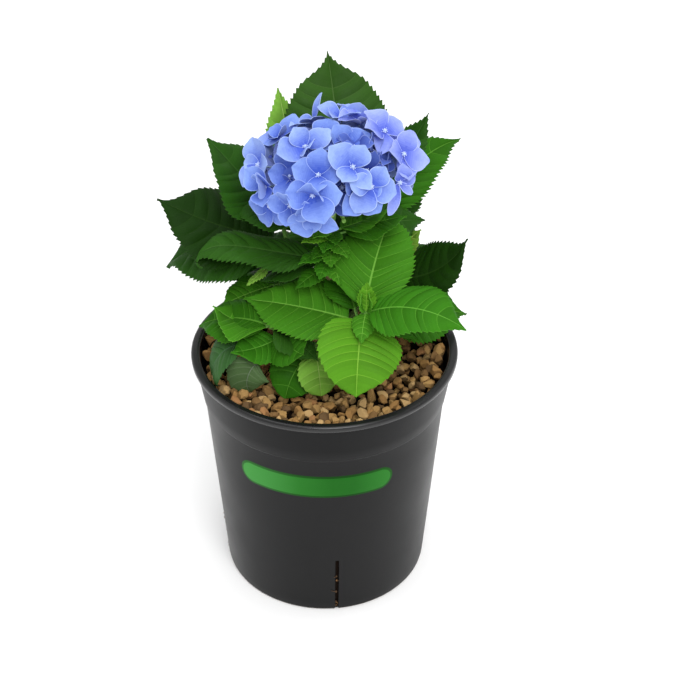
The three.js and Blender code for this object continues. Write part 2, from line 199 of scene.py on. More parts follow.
# Florets of the front as they show from the front and above: millimetres right and up of the head's middle,
# how far the floret stands out, its tint and its sepals. Each sepal has a bearing (0 down, 90 right, 180 up),
# the angle it stands up by, its size and, where that isn't 1, its breadth.
FRONT_FLORETS = (
    (-12, -22, 5, 0, ((92, 0.25, 1.15), (168, 1.15, 1, 1.15), (265, 0.2, 1.05, 1.1), (20, 0.45, 1.1, 1.25))),
    (-9, -9, 1, 0, ((93, 0.35, 0.95), (173, 0.3, 1.05), (253, 0.3, 1.0), (0, 0.7, 0.9))),
    (15, -4, 4, 1, ((38, 0.25, 1.05, 0.75), (150, 0.4, 1.0), (232, 0.45, 1.1), (325, 0.5, 0.85))),
    (28, -16, 2, 1, ((77, 0.2, 1.0), (145, 0.35, 0.9), (335, 0.25, 1.15), (260, 0.5, 0.9))),
    (38, 25, 3, 2, ((122, 0.3, 1.0), (205, 0.2, 1.2), (277, 0.3, 1.0), (345, -0.1, 0.95))),
    (52, 10, 2, 2, ((9, 0.3, 0.95), (74, 0.2, 1.05), (162, 0.25, 0.95), (270, 0.3, 0.95))),
    (50, -10, 1, 2, ((350, 0.15, 1.3, 0.42), (62, 0.15, 0.85, 0.36), (122, 0.2, 0.9, 0.8), (190, 0.4, 0.8))),
    (-47, -14, 2, 0, ((232, 0.5, 1.0), (100, 1.25, 1.1), (10, 0.4, 0.9), (160, 0.9, 0.9))),
    (-46, -27, 2, 0, ((258, 0.25, 1.0), (310, 0.2, 1.0), (47, 0.25, 1.05), (170, 0.6, 0.9))),
    (-52, 3, 3, 1, ((195, 0.15, 1.15, 1.1), (317, 0.2, 1.0), (258, 0.4, 0.75), (80, 0.6, 0.9))),
    (-36, 26, 3, 0, ((170, 0.25, 1.1, 1.1), (40, 0.55, 0.9), (255, 0.6, 0.6), (330, 0.5, 0.9))),
    (-14, 37, 2, 1, ((152, 1.05, 1.25, 0.5), (273, 0.2, 1.1), (332, 0.45, 0.95), (40, 0.4, 0.9))),
    (8, 38, 2, 1, ((249, 0.35, 1.0), (135, 0.3, 0.9), (330, 0.5, 0.9), (50, 0.5, 0.9))),
    (22, 36, 1, 2, ((285, 0.4, 1.0), (180, 0.3, 0.9), (20, 0.6, 0.9), (95, 0.4, 0.9))),
    (-18, 12, 2, 1, ((135, 0.1, 1.2), (300, 0.3, 1.1), (45, 1.1, 0.9), (215, 0.7, 0.9))),
    (13, 19, -8, 0, ((215, 0.45, 1.05), (120, 0.45, 1.05), (165, 0.6, 0.8), (330, 0.6, 0.8))),
    (-15, -36, 0, 0, ((312, 0.3, 1.2), (59, 0.05, 1.1, 0.8), (0, 0.3, 0.8), (180, 0.8, 0.9))),
    (-36, -6, -9, 0, ((175, 0.5, 1.25), (262, 0.4, 0.9), (100, 0.35, 1.1), (0, 0.4, 1.1))),
    (-31, -30, -2, 0, ((155, 1.0, 1.1), (250, 0.4, 0.9), (340, 0.3, 0.9), (60, 0.4, 0.9))),
    (-5, 23, -5, 0, ((180, 0.4, 1.1), (95, 0.4, 0.9), (265, 0.4, 0.9), (0, 0.5, 0.9))),
    (23, -22, -4, 0, ((322, 0.2, 1.0), (48, 0.15, 1.0), (130, 0.4, 0.9), (230, 0.4, 0.9))),
    (56, 22, 1, 2, ((180, 0.2, 1.0), (90, 0.3, 0.9), (0, 0.3, 0.9), (270, 0.5, 0.9))),
)
VIEW_RISE = math.radians(35)
FRONT_RIGHT = np.array([1.0, 0, 0])
FRONT_UP = np.array([0, math.sin(VIEW_RISE), math.cos(VIEW_RISE)])
FRONT_WAY = np.array([0, -math.cos(VIEW_RISE), math.sin(VIEW_RISE)])


def leaf(tint, at, turn, rise, length, width, petiole=None, droop=LEAF_DROOP, **more):
    """A leaf at a share of its shoot. Its pitch falls by droop along the blade, and roll tips it sideways."""
    sizes = {
        "tint": tint, "at": at, "turn": turn, "rise": rise, "length": length, "width": width, "droop": droop,
        "petiole": petiole or length * LEAF_PETIOLE_SHARE, "late": 1, "roll": 0, "fold": LEAF_FOLD,
        "pinch": LEAF_TIP_PINCH, "fade": LEAF_FADE, "stalk": 1, "stout": 1,
    }
    return sizes | more


# Every shoot: where its cane leaves the main stem, the foot and tip of its own stem, and its leaves.
# A leaf's numbers run: place on the shoot, turn, rise, length, width, length of its stalk and droop.
SHOOTS = {
    "crown": (1, (5, 2, 288), (6, 0, 334), (
        leaf("jade", 0.23, 181, 12, 108, 39, 14, 160, late=6, roll=9),
        leaf("dark", 0.47, 33, 14, 82, 50, 12, 37, roll=-42),
        leaf("dark", 0.6, 105, 18, 50, 34, droop=10),
        leaf("dark", 0.97, 165, 10, 62, 50, 26, 6, roll=8),
        leaf("mid", 0.75, 12, 14, 50, 40, 12, 10),
        leaf("bright", 0.86, 24, 3, 42, 30, 8, -15, roll=7),
        leaf("mid", 0.12, 216, -2, 30, 20, 6, 30),
        leaf("bright", 0.26, 284, 8, 27, 16, 5, 46),
        leaf("fresh", 0.3, 250, 6, 24, 15, 4, 40),
        leaf("fresh", 0.42, 212, 10, 26, 15, 5, 30),
        leaf("bright", 0.5, 270, 14, 25, 14, 4, 34),
        leaf("mid", 0.58, 238, 14, 24, 13, 4, 30),
        leaf("bright", 0.66, 298, 12, 25, 14, 4, 30),
        leaf("fresh", 0.72, 256, 18, 23, 12, 4, 35),
        leaf("lime", 0.76, 216, 16, 25, 13, 4, 20),
        leaf("mid", 0.84, 280, 20, 22, 12, 4, 30),
        leaf("bright", 0.88, 236, 22, 22, 12, 4, 26),
        leaf("dark", 0.1, 158, -8, 66, 46),
        leaf("mid", 0.3, 120, 6, 52, 44),
        leaf("mid", 0.35, 60, 8, 50, 40),
    )),
    "front": (0.3, (24, -30, 262), (33, -46, 281), (
        leaf("bright", 0.09, 162, 7, 89, 65, 6, 14, roll=13, fold=18),
        leaf("fresh", 0.98, -23, 32, 81, 62, 6, 60, roll=-6),
        leaf("bright", 0.81, 74, 51, 96, 60, 6, 58, roll=-4, fold=19),
        leaf("lime", 0.69, 264, -12, 64, 66, 6, 66, roll=20, fold=22, pinch=0.18, fade=0.92),
        leaf("mid", 0.3, 106, 26, 58, 36, 10, 30),
        leaf("lime", 0.99, 84, 76, 25, 14, 1, -10),
        leaf("bright", 0.97, 12, 66, 18, 12, 1, -40),
        leaf("bright", 0.97, 172, 62, 17, 12, 1, -40),
        leaf("bright", 0.96, 262, 6, 30, 18, 1, 56),
    )),
    "left": (0.42, (-20, 17, 276), (-34, 28, 316), (
        leaf("deep", 0.69, 167, 3, 96, 89, 16, -23, roll=12),
        leaf("dark", 0.98, 159, 51, 80, 80, 12, 9, roll=-1),
        leaf("dark", 0.46, 164, 10, 107, 82, 16, 63, roll=22),
        leaf("pale", 0.54, 225, -16, 24, 8, 26, 0, stalk=2, stout=2.6, pinch=0.2),
    )),
    "right": (0.3, (30, 14, 252), (44, 18, 284), (
        leaf("deep", 0.7, -30, 11, 94, 50, 13, -58, roll=-47),
        leaf("mid", 0.05, 12, -13, 82, 76, 13, 9, roll=-21),
        leaf("olive", 0.97, 27, 32, 38, 34, 8, 0),
        leaf("mid", 0.1, -38, -12, 50, 40, droop=15),
    )),
    "back": (0.68, (8, 42, 290), (16, 64, 325), (
        leaf("moss", 0.98, 102, 64, 99, 85, 19, 18, roll=2, pinch=0.8),
        leaf("dark", 0.98, 19, 22, 80, 36, 18, -45, roll=-31),
        leaf("dark", 0.5, 88, 20, 85, 60, droop=30),
        leaf("mid", 0.3, 124, -6, 68, 52, droop=36),
        leaf("mid", 0.15, 58, -10, 66, 50, droop=34),
    )),
    "back_left": (0.57, (-14, 40, 262), (-29, 86, 306), (
        leaf("pale", 0.98, 135, 92, 95, 50, 6, 19, roll=6),
        leaf("dark", 0.6, 152, 14, 82, 58, droop=20),
        leaf("mid", 0.45, 96, 4, 66, 54, droop=40),
        leaf("dark", 0.85, 92, 14, 52, 42, droop=66),
        leaf("mid", 0.3, 64, -8, 60, 46, droop=36),
        leaf("mid", 0.35, 140, -8, 60, 46, droop=36),
    )),
    "right_back": (0.5, (20, 28, 256), (32, 46, 296), (
        leaf("mid", 0.98, 40, 53, 112, 46, 14, 60, roll=-19),
        leaf("dark", 0.95, 62, 22, 78, 58, droop=20),
        leaf("dark", 0.5, 14, 2, 66, 48, droop=15),
        leaf("mid", 0.7, 86, 8, 64, 44, droop=15),
        leaf("mid", 0.35, 62, -6, 70, 54, droop=30),
        leaf("dark", 0.3, 104, -4, 62, 48, droop=34),
    )),
    "low_back": (0.15, (14, 32, 235), (24, 52, 268), (
        leaf("mid", 0.9, 60, 12, 80, 58),
        leaf("mid", 0.7, 20, 5, 70, 48),
        leaf("bright", 0.6, 105, 5, 70, 50),
        leaf("fresh", 0.45, 80, -2, 62, 48, droop=22),
        leaf("mid", 0.4, 42, -2, 56, 44, droop=22),
    )),
    "low_back_left": (0.19, (-14, 28, 230), (-32, 42, 256), (
        leaf("mid", 0.9, 150, 10, 75, 54),
        leaf("bright", 0.92, 208, 0, 46, 40, 16, 14, roll=8),
        leaf("bright", 0.6, 112, 0, 60, 46, droop=30),
        leaf("fresh", 0.45, 84, -2, 58, 46, droop=22),
        leaf("mid", 0.4, 140, -4, 52, 42, droop=22),
    )),
    "low_left": (0.25, (-25, -18, 225), (-42, -30, 258), (
        leaf("mid", 0.94, 158, 9, 65, 51, 6, 50, roll=12),
        leaf("bright", 0.98, 161, -17, 48, 62, 5, -59, roll=-12),
        leaf("fresh", 0.55, 213, -10, 43, 33, 4, -30, roll=20),
        leaf("mid", 0.75, 301, -11, 40, 38, 4, -35, roll=-38),
        leaf("jade", 0.96, 333, -15, 44, 36, 3, 24),
        leaf("dull", 0.52, 197, 1, 54, 42, 35, 136, roll=-4),
        leaf("dusty", 0.42, 222, -17, 33, 34, 30, 118, roll=46),
    )),
    "low_front": (0.1, (-8, -20, 222), (-8, -33, 242), (
        leaf("mid", 0.45, 232, -4, 44, 40, 6, 72, roll=20, pinch=0.1, fade=0.72),
        leaf("pale", 0.66, 281, -12, 38, 34, 5, 72, roll=14, pinch=0.1, fade=0.62),
    )),
}

# Tints of a leaf: plain base colour, gloss, how far veins and rib stand out, and the swell between veins.
# A blade comes in five steps of its tint, dealt out at random by cell and stepped across each cell as painted
# shade, and its veins, rib and underside follow from it.
LEAF_TINTS = {
    "deep": ((0.0072, 0.030, 0.0018), 0.06, 0.45, 0.012),
    "dark": ((0.016, 0.066, 0.005), 0.06, 0.45, 0.012),
    "jade": ((0.021, 0.080, 0.007), 0.06, 0.45, 0.010),
    "moss": ((0.0245, 0.073, 0.0085), 0.06, 0.45, 0.010),
    "dull": ((0.030, 0.092, 0.022), 0.06, 0.45, 0.012),
    "dusty": ((0.070, 0.128, 0.045), 0.06, 0.45, 0.012),
    "mid": ((0.024, 0.112, 0.005), 0.035, 1, 0.014),
    "olive": ((0.088, 0.190, 0.018), 0.035, 1, 0.014),
    "fresh": ((0.031, 0.150, 0.007), 0.035, 1, 0.014),
    "bright": ((0.046, 0.185, 0.010), 0.035, 1, 0.014),
    "lime": ((0.076, 0.236, 0.012), 0.035, 0.6, 0.014),
    "pale": ((0.150, 0.330, 0.040), 0.035, 0.5, 0.014),
}
# Steps of a blade's tint: random tone by cell, and painted shade across each cell
BLADE_TONE_AND_SHADE_STEPS = (0.86, 0.93, 1.0, 1.06, 1.12)
VEIN_GAIN = np.array((2.2, 1.6, 2.6))
RIB_GAIN = np.array((3.4, 2.1, 5))
UNDER_GAIN = (2.4, 1.5, 3.6)
# A sepal runs from its heart's colour to its blade's; the deeper heart is partly the sepal's own colour and
# partly painted shade in the floret's cup.
SEPAL_TINTS = {
    "blue": ((0.046, 0.092, 0.46), (0.205, 0.310, 0.71)),
    "clear": ((0.062, 0.110, 0.52), (0.275, 0.385, 0.75)),
    "violet": ((0.088, 0.125, 0.54), (0.315, 0.385, 0.82)),
    # The deep tint, on the hidden inner florets, is painted shade for the gaps between the outer florets.
    "deep": ((0.030, 0.052, 0.28), (0.085, 0.140, 0.48)),
}
SEPAL_STEPS = 9
SEPAL_PALE = (0.74, 0.79, 0.93)
# Paleness of a sepal's rim, partly its own pale edge and partly a painted highlight, and of its back
SEPAL_RIM_HIGHLIGHT_AND_BACK_PALENESS = (0.17, 0.14)
STONE_TINTS = (
    (0.33, 0.195, 0.072), (0.27, 0.148, 0.052), (0.42, 0.270, 0.117),
    (0.17, 0.095, 0.037), (0.30, 0.150, 0.060), (0.11, 0.065, 0.030),
)
# Painted light and shade: upward stone faces lighter, side faces darker, downward faces darker still
STONE_PAINTED_SHADES = (1.2, 0.82, 0.42)
STONE_SHARES = (0.30, 0.24, 0.16, 0.13, 0.09, 0.08)

# Studio, in metres
CAMERA_PLACE = (0.0107, -1.0431, 0.9581)
CAMERA_TILT = math.radians(54.9)
CAMERA_LENS = 82.67
SENSOR_WIDTH = 36
SKY_STRENGTH = 0.72
FLOOR_REACH = 6
LIGHT_TARGET = Vector((0, 0, 0.25))
# Place, size and power of each light
LIGHTS = {
    "key_light": ((0.4, -1.8, 2.2), 1.4, 46),
    "top_light": ((0.15, 0.4, 3.4), 3.0, 46),
    "left_card": ((-1.75, -0.25, 0.6), 1.8, 6),
    "right_card": ((1.7, 0.7, 0.6), 1.2, 5.2),
}


# Shape helpers

class Gather:
    """Joins many small shapes into one mesh, with a material number for each face."""

    def __init__(self):
        self.points = []
        self.faces = []
        self.slots = []
        self.count = 0

    def add(self, points, faces, slot=0):
        faces = np.asarray(faces) + self.count
        self.points.append(np.asarray(points, float).reshape(-1, 3))
        self.faces.append(faces)
        self.slots.append(np.broadcast_to(slot, len(faces)))
        self.count += len(self.points[-1])


def show(name, data):
    """Puts an object with this mesh, light or camera in the scene."""
    obj = bpy.data.objects.new(name, data)
    bpy.context.scene.collection.objects.link(obj)
    return obj


def piece(name, gather, materials, replaces=(), smooth=True):
    """One mesh object that rides with the plant and takes its finishes from its material slots."""
    mesh = bpy.data.meshes.new(name)
    points = np.concatenate(gather.points) * MM
    corners = np.concatenate([faces.ravel() for faces in gather.faces])
    sides = np.concatenate([np.full(len(faces), faces.shape[1]) for faces in gather.faces])
    starts = np.concatenate([[0], np.cumsum(sides)[:-1]])
    mesh.vertices.add(len(points))
    mesh.vertices.foreach_set("co", points.astype(np.float32).ravel())
    mesh.loops.add(len(corners))
    mesh.loops.foreach_set("vertex_index", corners.astype(np.int32))
    mesh.polygons.add(len(sides))
    mesh.polygons.foreach_set("loop_start", starts.astype(np.int32))
    mesh.polygons.foreach_set("material_index", np.concatenate(gather.slots).astype(np.int32))
    mesh.polygons.foreach_set("use_smooth", np.full(len(sides), smooth))
    mesh.update(calc_edges=True)
    for material in materials:
        mesh.materials.append(material)
    obj = show(name, mesh)
    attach(obj, "root")
    if replaces:
        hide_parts(*replaces)
    return obj


def unit(vectors):
    return vectors / np.linalg.norm(vectors, axis=-1, keepdims=True)


def smooth_step(value, low, high):
    share = np.clip((value - low) / (high - low), 0, 1)
    return share * share * (3 - 2 * share)


def grid_faces(rows, columns, closed=False, flip=False):
    """Four-cornered faces between the neighbours of a grid of points."""
    index = np.arange(rows * columns).reshape(rows, columns)
    if closed:
        index = np.column_stack([index, index[:, 0]])
    corners = [index[:-1, :-1], index[:-1, 1:], index[1:, 1:], index[1:, :-1]]
    if flip:
        corners.reverse()
    return np.stack(corners, axis=-1).reshape(-1, 4)


def fan_faces(count, flip=False):
    """Triangles between a ring of points and the one point that follows them."""
    index = np.arange(count)
    fan = np.column_stack([index, np.roll(index, -1), np.full(count, count)])
    return fan[:, ::-1] if flip else fan


def add_sheet(gather, top, under, upper, lower, rim):
    """A thin sheet: its upper and lower faces, each with its slot, and the rim between them."""
    rows, columns = top.shape[:2]
    gather.add(top, grid_faces(rows, columns, flip=True), upper.ravel())
    gather.add(under, grid_faces(rows, columns), lower.ravel())
    for column, flip in ((0, False), (-1, True)):
        edge = np.stack([top[:, column], under[:, column]], axis=1)
        gather.add(edge, grid_faces(rows, 2, flip=flip), rim)
    for row, flip in ((0, True), (-1, False)):
        end = np.stack([top[row], under[row]], axis=1)
        gather.add(end, grid_faces(columns, 2, flip=flip), rim)


def between(ends, share):
    """The value at a share of the way between two ends."""
    start, end = ends
    return start + (end - start) * share


def even_points(points, shares):
    """Points at shares of the length of a line."""
    steps = np.linalg.norm(np.diff(points, axis=0), axis=1)
    run = np.concatenate([[0], np.cumsum(steps)]) / steps.sum()
    return np.column_stack([np.interp(shares, run, points[:, axis]) for axis in range(3)])


def bezier(controls, shares):
    """Points at shares of the length of the curve that the control points give."""
    t = np.linspace(0, 1, 201)[:, None]
    layers = [np.tile(np.asarray(control, float), (len(t), 1)) for control in controls]
    while len(layers) > 1:
        layers = [a * (1 - t) + b * t for a, b in zip(layers, layers[1:])]
    return even_points(layers[0], shares)


def tube(gather, points, radii, sides, slot=0, relief=None):
    """A round limb along points. Relief is the swelling of its skin at a share of its length and an angle."""
    points = np.asarray(points, float)
    rows = len(points)
    ahead = unit(np.gradient(points, axis=0))
    sideways = np.cross(ahead[0], UP if abs(ahead[0][2]) < 0.9 else np.array([1.0, 0, 0]))
    frames = []
    for way in ahead:
        sideways = unit(sideways - way * np.dot(sideways, way))
        frames.append(sideways)
    first = np.array(frames)
    second = np.cross(ahead, first)
    angles = np.arange(sides) * 2 * math.pi / sides
    skin = np.broadcast_to(np.asarray(radii, float).reshape(-1, 1), (rows, sides))
    if relief is not None:
        skin = skin + relief(np.linspace(0, 1, rows)[:, None], angles[None, :])
    round_way = first[:, None] * np.cos(angles)[:, None] + second[:, None] * np.sin(angles)[:, None]
    rings = points[:, None] + round_way * skin[..., None]
    gather.add(rings, grid_faces(rows, sides, closed=True), slot)
    for end, flip in ((0, True), (-1, False)):
        gather.add(np.vstack([rings[end], points[end]]), fan_faces(sides, flip), slot)


def twig(gather, controls, radii, steps, sides, slot=0, relief=None):
    """A limb that follows a curve and tapers between two radii."""
    shares = np.linspace(0, 1, steps)
    tube(gather, bezier(controls, shares), np.linspace(*radii, steps), sides, slot, relief)


def ball(gather, centre, radius, slot=0, rings=6, sides=8, stretch=(1, 1, 1)):
    """A small closed ball. Stretch gives the lengths of its three axes."""
    polar = np.linspace(0, math.pi, rings + 1)[1:-1, None]
    angle = np.arange(sides) * 2 * math.pi / sides
    flat = np.sin(polar)
    skin = np.stack(np.broadcast_arrays(flat * np.cos(angle), flat * np.sin(angle), np.cos(polar)), axis=-1)
    size = np.array(stretch) * radius
    skin = skin * size + centre
    gather.add(skin, grid_faces(rings - 1, sides, closed=True, flip=True), slot)
    for ring, pole, flip in ((skin[0], UP, False), (skin[-1], -UP, True)):
        gather.add(np.vstack([ring, pole * size + centre]), fan_faces(sides, flip), slot)


# Materials

def fill(tree, node, inputs):
    """Sets each named input of a node to a value, or links it to another node's output."""
    for name, value in inputs.items():
        if isinstance(value, bpy.types.NodeSocket):
            tree.links.new(value, node.inputs[name])
        else:
            node.inputs[name].default_value = value


def add_node(tree, kind, inputs):
    node = tree.nodes.new(kind)
    fill(tree, node, inputs)
    return node


def here(tree):
    return tree.nodes.new("ShaderNodeTexCoord").outputs["Object"]


def noise(tree, scale):
    inputs = {"Vector": here(tree), "Scale": scale, "Detail": 4, "Roughness": 0.55}
    return add_node(tree, "ShaderNodeTexNoise", inputs).outputs["Fac"]


def spread(tree, value, low, high, ends=(0.3, 0.7)):
    """Maps a pattern that runs between two ends to a range of values."""
    inputs = {"Value": value, "From Min": ends[0], "From Max": ends[1], "To Min": low, "To Max": high}
    return add_node(tree, "ShaderNodeMapRange", inputs).outputs["Result"]


def colours_along(tree, value, colours):
    """Colours that fade into each other at shares of a value."""
    ramp = add_node(tree, "ShaderNodeValToRGB", {"Fac": value})
    stops = ramp.color_ramp.elements
    while len(stops) < len(colours):
        stops.new(0.5)
    for stop, (share, colour) in zip(stops, colours):
        stop.position = share
        stop.color = (*colour, 1)
    return ramp.outputs["Color"]


def new_material(name):
    material = bpy.data.materials.new(name)
    material.use_nodes = True
    return material, material.node_tree


def dress(tree, colour, shine, roughness, relief, sheen=0.0):
    """Gives the shader its colour, gloss and relief: a height with its strength and depth."""
    height, strength, depth = relief
    bump = add_node(tree, "ShaderNodeBump", {"Height": height, "Strength": strength, "Distance": depth})
    fill(tree, tree.nodes["Principled BSDF"], {
        "Base Color": colour, "Specular IOR Level": shine, "Roughness": roughness,
        "Sheen Weight": sheen, "Normal": bump.outputs["Normal"],
    })


def organic(name, colour, roughness, shine, grain, depth, sheen=0.0):
    """A plain base colour with a fine natural grain in its relief and gloss."""
    material, tree = new_material(name)
    fine = noise(tree, grain)
    gloss = spread(tree, fine, roughness - 0.08, roughness + 0.08)
    dress(tree, (*colour, 1), shine, gloss, (fine, 0.35, depth), sheen)
    return material


def leaf_skin(name, colour, roughness, shine):
    """Leaf blade: a net of small veins stands in its relief."""
    material, tree = new_material(name)
    cells = add_node(tree, "ShaderNodeTexVoronoi", {"Vector": here(tree), "Scale": 330})
    cells.feature = "DISTANCE_TO_EDGE"
    gloss = spread(tree, noise(tree, 120), roughness - 0.07, roughness + 0.1)
    dress(tree, (*colour, 1), shine, gloss, (cells.outputs["Distance"], 0.3, 0.0008))
    return material


def pot_plastic(name, colour, shine, roughness):
    """Satin moulded plastic with a faint bloom of dust and fine scuffs."""
    material, tree = new_material(name)
    cloud = noise(tree, 14)
    dusty = colours_along(tree, cloud, [(0.3, scaled(colour, 0.85)), (0.75, scaled(colour, 1.25))])
    gloss = spread(tree, cloud, roughness - 0.05, roughness + 0.08)
    dress(tree, dusty, shine, gloss, (noise(tree, 900), 0.12, 0.0003))
    return material


def band_plastic(name, greens, ends):
    """Plastic whose green fades along the pot's front between two ends."""
    material, tree = new_material(name)
    across = add_node(tree, "ShaderNodeSeparateXYZ", {"Vector": here(tree)}).outputs["X"]
    green = colours_along(tree, spread(tree, across, 0, 1, ends), greens)
    dress(tree, green, 0.06, spread(tree, noise(tree, 14), 0.38, 0.5), (noise(tree, 900), 0.1, 0.0003))
    return material


def scaled(colour, factor):
    return tuple(min(1.0, c * f) for c, f in zip(colour, np.broadcast_to(factor, 3)))


# Pot

def body_radius(height):
    return FOOT_RADIUS + (BODY_TOP_RADIUS - FOOT_RADIUS) * height / BODY_TOP


def pot_inside(height):
    if height <= BODY_TOP:
        return body_radius(height) - POT_WALL
    band_foot = BODY_TOP_RADIUS - POT_WALL
    return band_foot + (LIP_INSIDE - band_foot) * (height - BODY_TOP) / (POT_HEIGHT - BODY_TOP)


def arc(centre, radius, start, end, steps=5):
    angles = np.radians(np.linspace(start, end, steps))
    return [(centre[0] + radius * math.cos(a), centre[1] + radius * math.sin(a)) for a in angles]


def outer_profile():
    """Radius and height up the outside of the pot, over the lip."""
    points = arc((FOOT_RADIUS - FOOT_ROUND, FOOT_ROUND), FOOT_ROUND, -90, 0)
    points += [(body_radius(height), height) for height in WALL_HEIGHTS]
    points += [(BODY_TOP_RADIUS + 0.1, BODY_TOP - 0.2), (BAND_FOOT_RADIUS - 0.5, BODY_TOP + 0.3)]
    points += [(BAND_FOOT_RADIUS, BODY_TOP + 1.2)]
    for share in (0.33, 0.66, 0.95):
        radius = between((BAND_FOOT_RADIUS, BAND_TOP_RADIUS), share)
        points.append((radius, between((BODY_TOP + 1, BAND_TOP), share)))
    points += [(BAND_TOP_RADIUS + 0.3, LIP_FOOT - 1), (LIP_RADIUS - 1, LIP_FOOT - 0.4)]
    points += [(LIP_RADIUS - 0.2, LIP_FOOT + 0.3)]
    points += arc((LIP_RADIUS - LIP_ROUND, POT_HEIGHT - LIP_ROUND), LIP_ROUND, 0, 90)
    points += arc((LIP_INSIDE + LIP_ROUND, POT_HEIGHT - LIP_ROUND), LIP_ROUND, 90, 180)
    return points


def slit_distance(turns):
    """How far each turn lies from the nearest slit."""
    away = np.abs((turns[:, None] - np.array(SLIT_TURNS) + 180) % 360 - 180)
    return away.min(axis=1)


def turn_columns():
    """Turns round the pot, with one on each side of every slit."""
    even = SLIT_TURNS[0] + np.arange(TURN_STEPS) * 360 / TURN_STEPS
    free = even[slit_distance(even) > SLIT_HALF_TURN * 1.2]
    edges = np.add.outer(SLIT_TURNS, (-SLIT_HALF_TURN, SLIT_HALF_TURN)).ravel()
    return np.sort(np.concatenate([free, edges]) % 360)


def revolved(profile, turns):
    radius, height = np.array(profile, float).T
    angle = np.radians(turns)
    points = np.empty((len(radius), len(turns), 3))
    points[..., 0] = radius[:, None] * np.cos(angle)
    points[..., 1] = radius[:, None] * np.sin(angle)
    points[..., 2] = height[:, None]
    return points


def add_slit(shell, turn, outside):
    """The cut edges of one slit: two cheeks, a head and, in the thick floor, a back."""
    sides = (turn - SLIT_HALF_TURN, turn + SLIT_HALF_TURN)
    outer = [point for point in outside if point[1] <= SLIT_TOP]
    floor_radius = FOOT_RADIUS - SLIT_FLOOR_DEPTH
    inner = [
        (floor_radius if height <= POT_FLOOR else min(pot_inside(height), radius - 1), height)
        for radius, height in outer
    ]
    for side, flip in zip(sides, (False, True)):
        cheek = np.concatenate([revolved(outer, [side]), revolved(inner, [side])], axis=1)
        shell.add(cheek, grid_faces(len(outer), 2, flip=flip))
    shell.add(revolved([outer[-1], inner[-1]], sides), grid_faces(2, 2, flip=True))
    floor = [point for point in inner if point[1] <= POT_FLOOR]
    shell.add(revolved(floor, sides), grid_faces(len(floor), 2))


def make_pot():
    shell = Gather()
    turns = turn_columns()
    cut = slit_distance(turns + np.diff(turns, append=turns[0] + 360) / 2) < SLIT_HALF_TURN
    outside = outer_profile()
    inside = [(pot_inside(height), height) for height in INSIDE_HEIGHTS]
    for profile in (outside, inside):
        heights = np.array(profile)[:, 1]
        tops = np.maximum(heights[:-1], heights[1:])
        keep = ~((tops <= SLIT_TOP + 0.01)[:, None] & cut).ravel()
        look = np.repeat(POT_LOOKS[np.searchsorted(POT_ZONES, tops)], len(turns))
        faces = grid_faces(len(profile), len(turns), closed=True)
        shell.add(revolved(profile, turns), faces[keep], look[keep])
    for turn in SLIT_TURNS:
        add_slit(shell, turn, outside)
    floors = ((0, FOOT_RADIUS - FOOT_ROUND, True), (POT_FLOOR, pot_inside(POT_FLOOR), False))
    for height, radius, flip in floors:
        disc = revolved([(radius * share, height) for share in (1, 0.55, 0.1)], turns)
        shell.add(disc, grid_faces(len(disc), len(turns), closed=True, flip=flip))
        shell.add(np.vstack([disc[-1], UP * height]), fan_faces(len(turns), flip))
    looks = [
        pot_plastic("pot_plastic", (0.0060, 0.0060, 0.0063), 0.155, 0.36),
        pot_plastic("pot_foot_dust", (0.075, 0.055, 0.035), 0.2, 0.7),
        # Painted shade: the band's colour is a touch darker than the body's, for its shade under the lip; its
        # lower gloss is the plastic's own.
        pot_plastic("pot_band_plastic_painted_shade", (0.0056, 0.0056, 0.0058), 0.11, 0.36),
        pot_plastic("pot_lip_plastic", (0.0060, 0.0060, 0.0062), 0.42, 0.27),
    ]
    pot = piece("nursery_pot", shell, looks, ["pot"])
    split = pot.modifiers.new("crisp_edges", "EDGE_SPLIT")
    split.split_angle = math.radians(50)


def pill_outline(half_length, inset):
    """Places along the green band and heights over its middle, from its left end to its right."""
    high = PILL_HALF_HEIGHT - inset
    straight = half_length - PILL_HALF_HEIGHT
    bend = np.radians(np.linspace(90, 0, 11))
    reach = straight + high * np.cos(bend)
    rise = high * np.sin(bend)
    flat = np.linspace(-straight, straight, 41)[1:-1]
    along = np.concatenate([-reach[::-1], flat, reach])
    return along, np.concatenate([rise[::-1], np.full(len(flat), high), rise])


def make_pill():
    """A plain green band with round ends that follows the pot's wall."""
    band = Gather()
    radius = body_radius(PILL_MIDDLE)
    half_length = radius * math.radians(PILL_TURNS[1] - PILL_TURNS[0]) / 2
    middle_turn = math.radians(sum(PILL_TURNS) / 2)
    outer, outer_rise = pill_outline(half_length, 0)
    inner, inner_rise = pill_outline(half_length, PILL_RIM)
    rows = [(inner, inner_rise * share, PILL_RELIEF) for share in (-1, -0.5, 0, 0.5, 1)]
    rows = [(outer, -outer_rise, PILL_EDGE_RELIEF), *rows, (outer, outer_rise, PILL_EDGE_RELIEF)]
    points = np.empty((len(rows), len(outer), 3))
    for row, (along, rise, lift) in zip(points, rows):
        height = PILL_MIDDLE + rise
        out = body_radius(height) + lift
        row[:, 0] = out * np.cos(middle_turn + along / radius)
        row[:, 1] = out * np.sin(middle_turn + along / radius)
        row[:, 2] = height
    looks = np.repeat([1, 0, 0, 0, 0, 1], len(outer) - 1)
    band.add(points, grid_faces(len(rows), len(outer)), looks)
    ends = [radius * MM * math.cos(math.radians(turn)) for turn in PILL_TURNS]
    green = band_plastic("band_green", PILL_GREENS, ends)
    edge = band_plastic("band_edge", [(share, scaled(colour, 0.45)) for share, colour in PILL_GREENS], ends)
    piece("green_band", band, [green, edge])


# Gravel

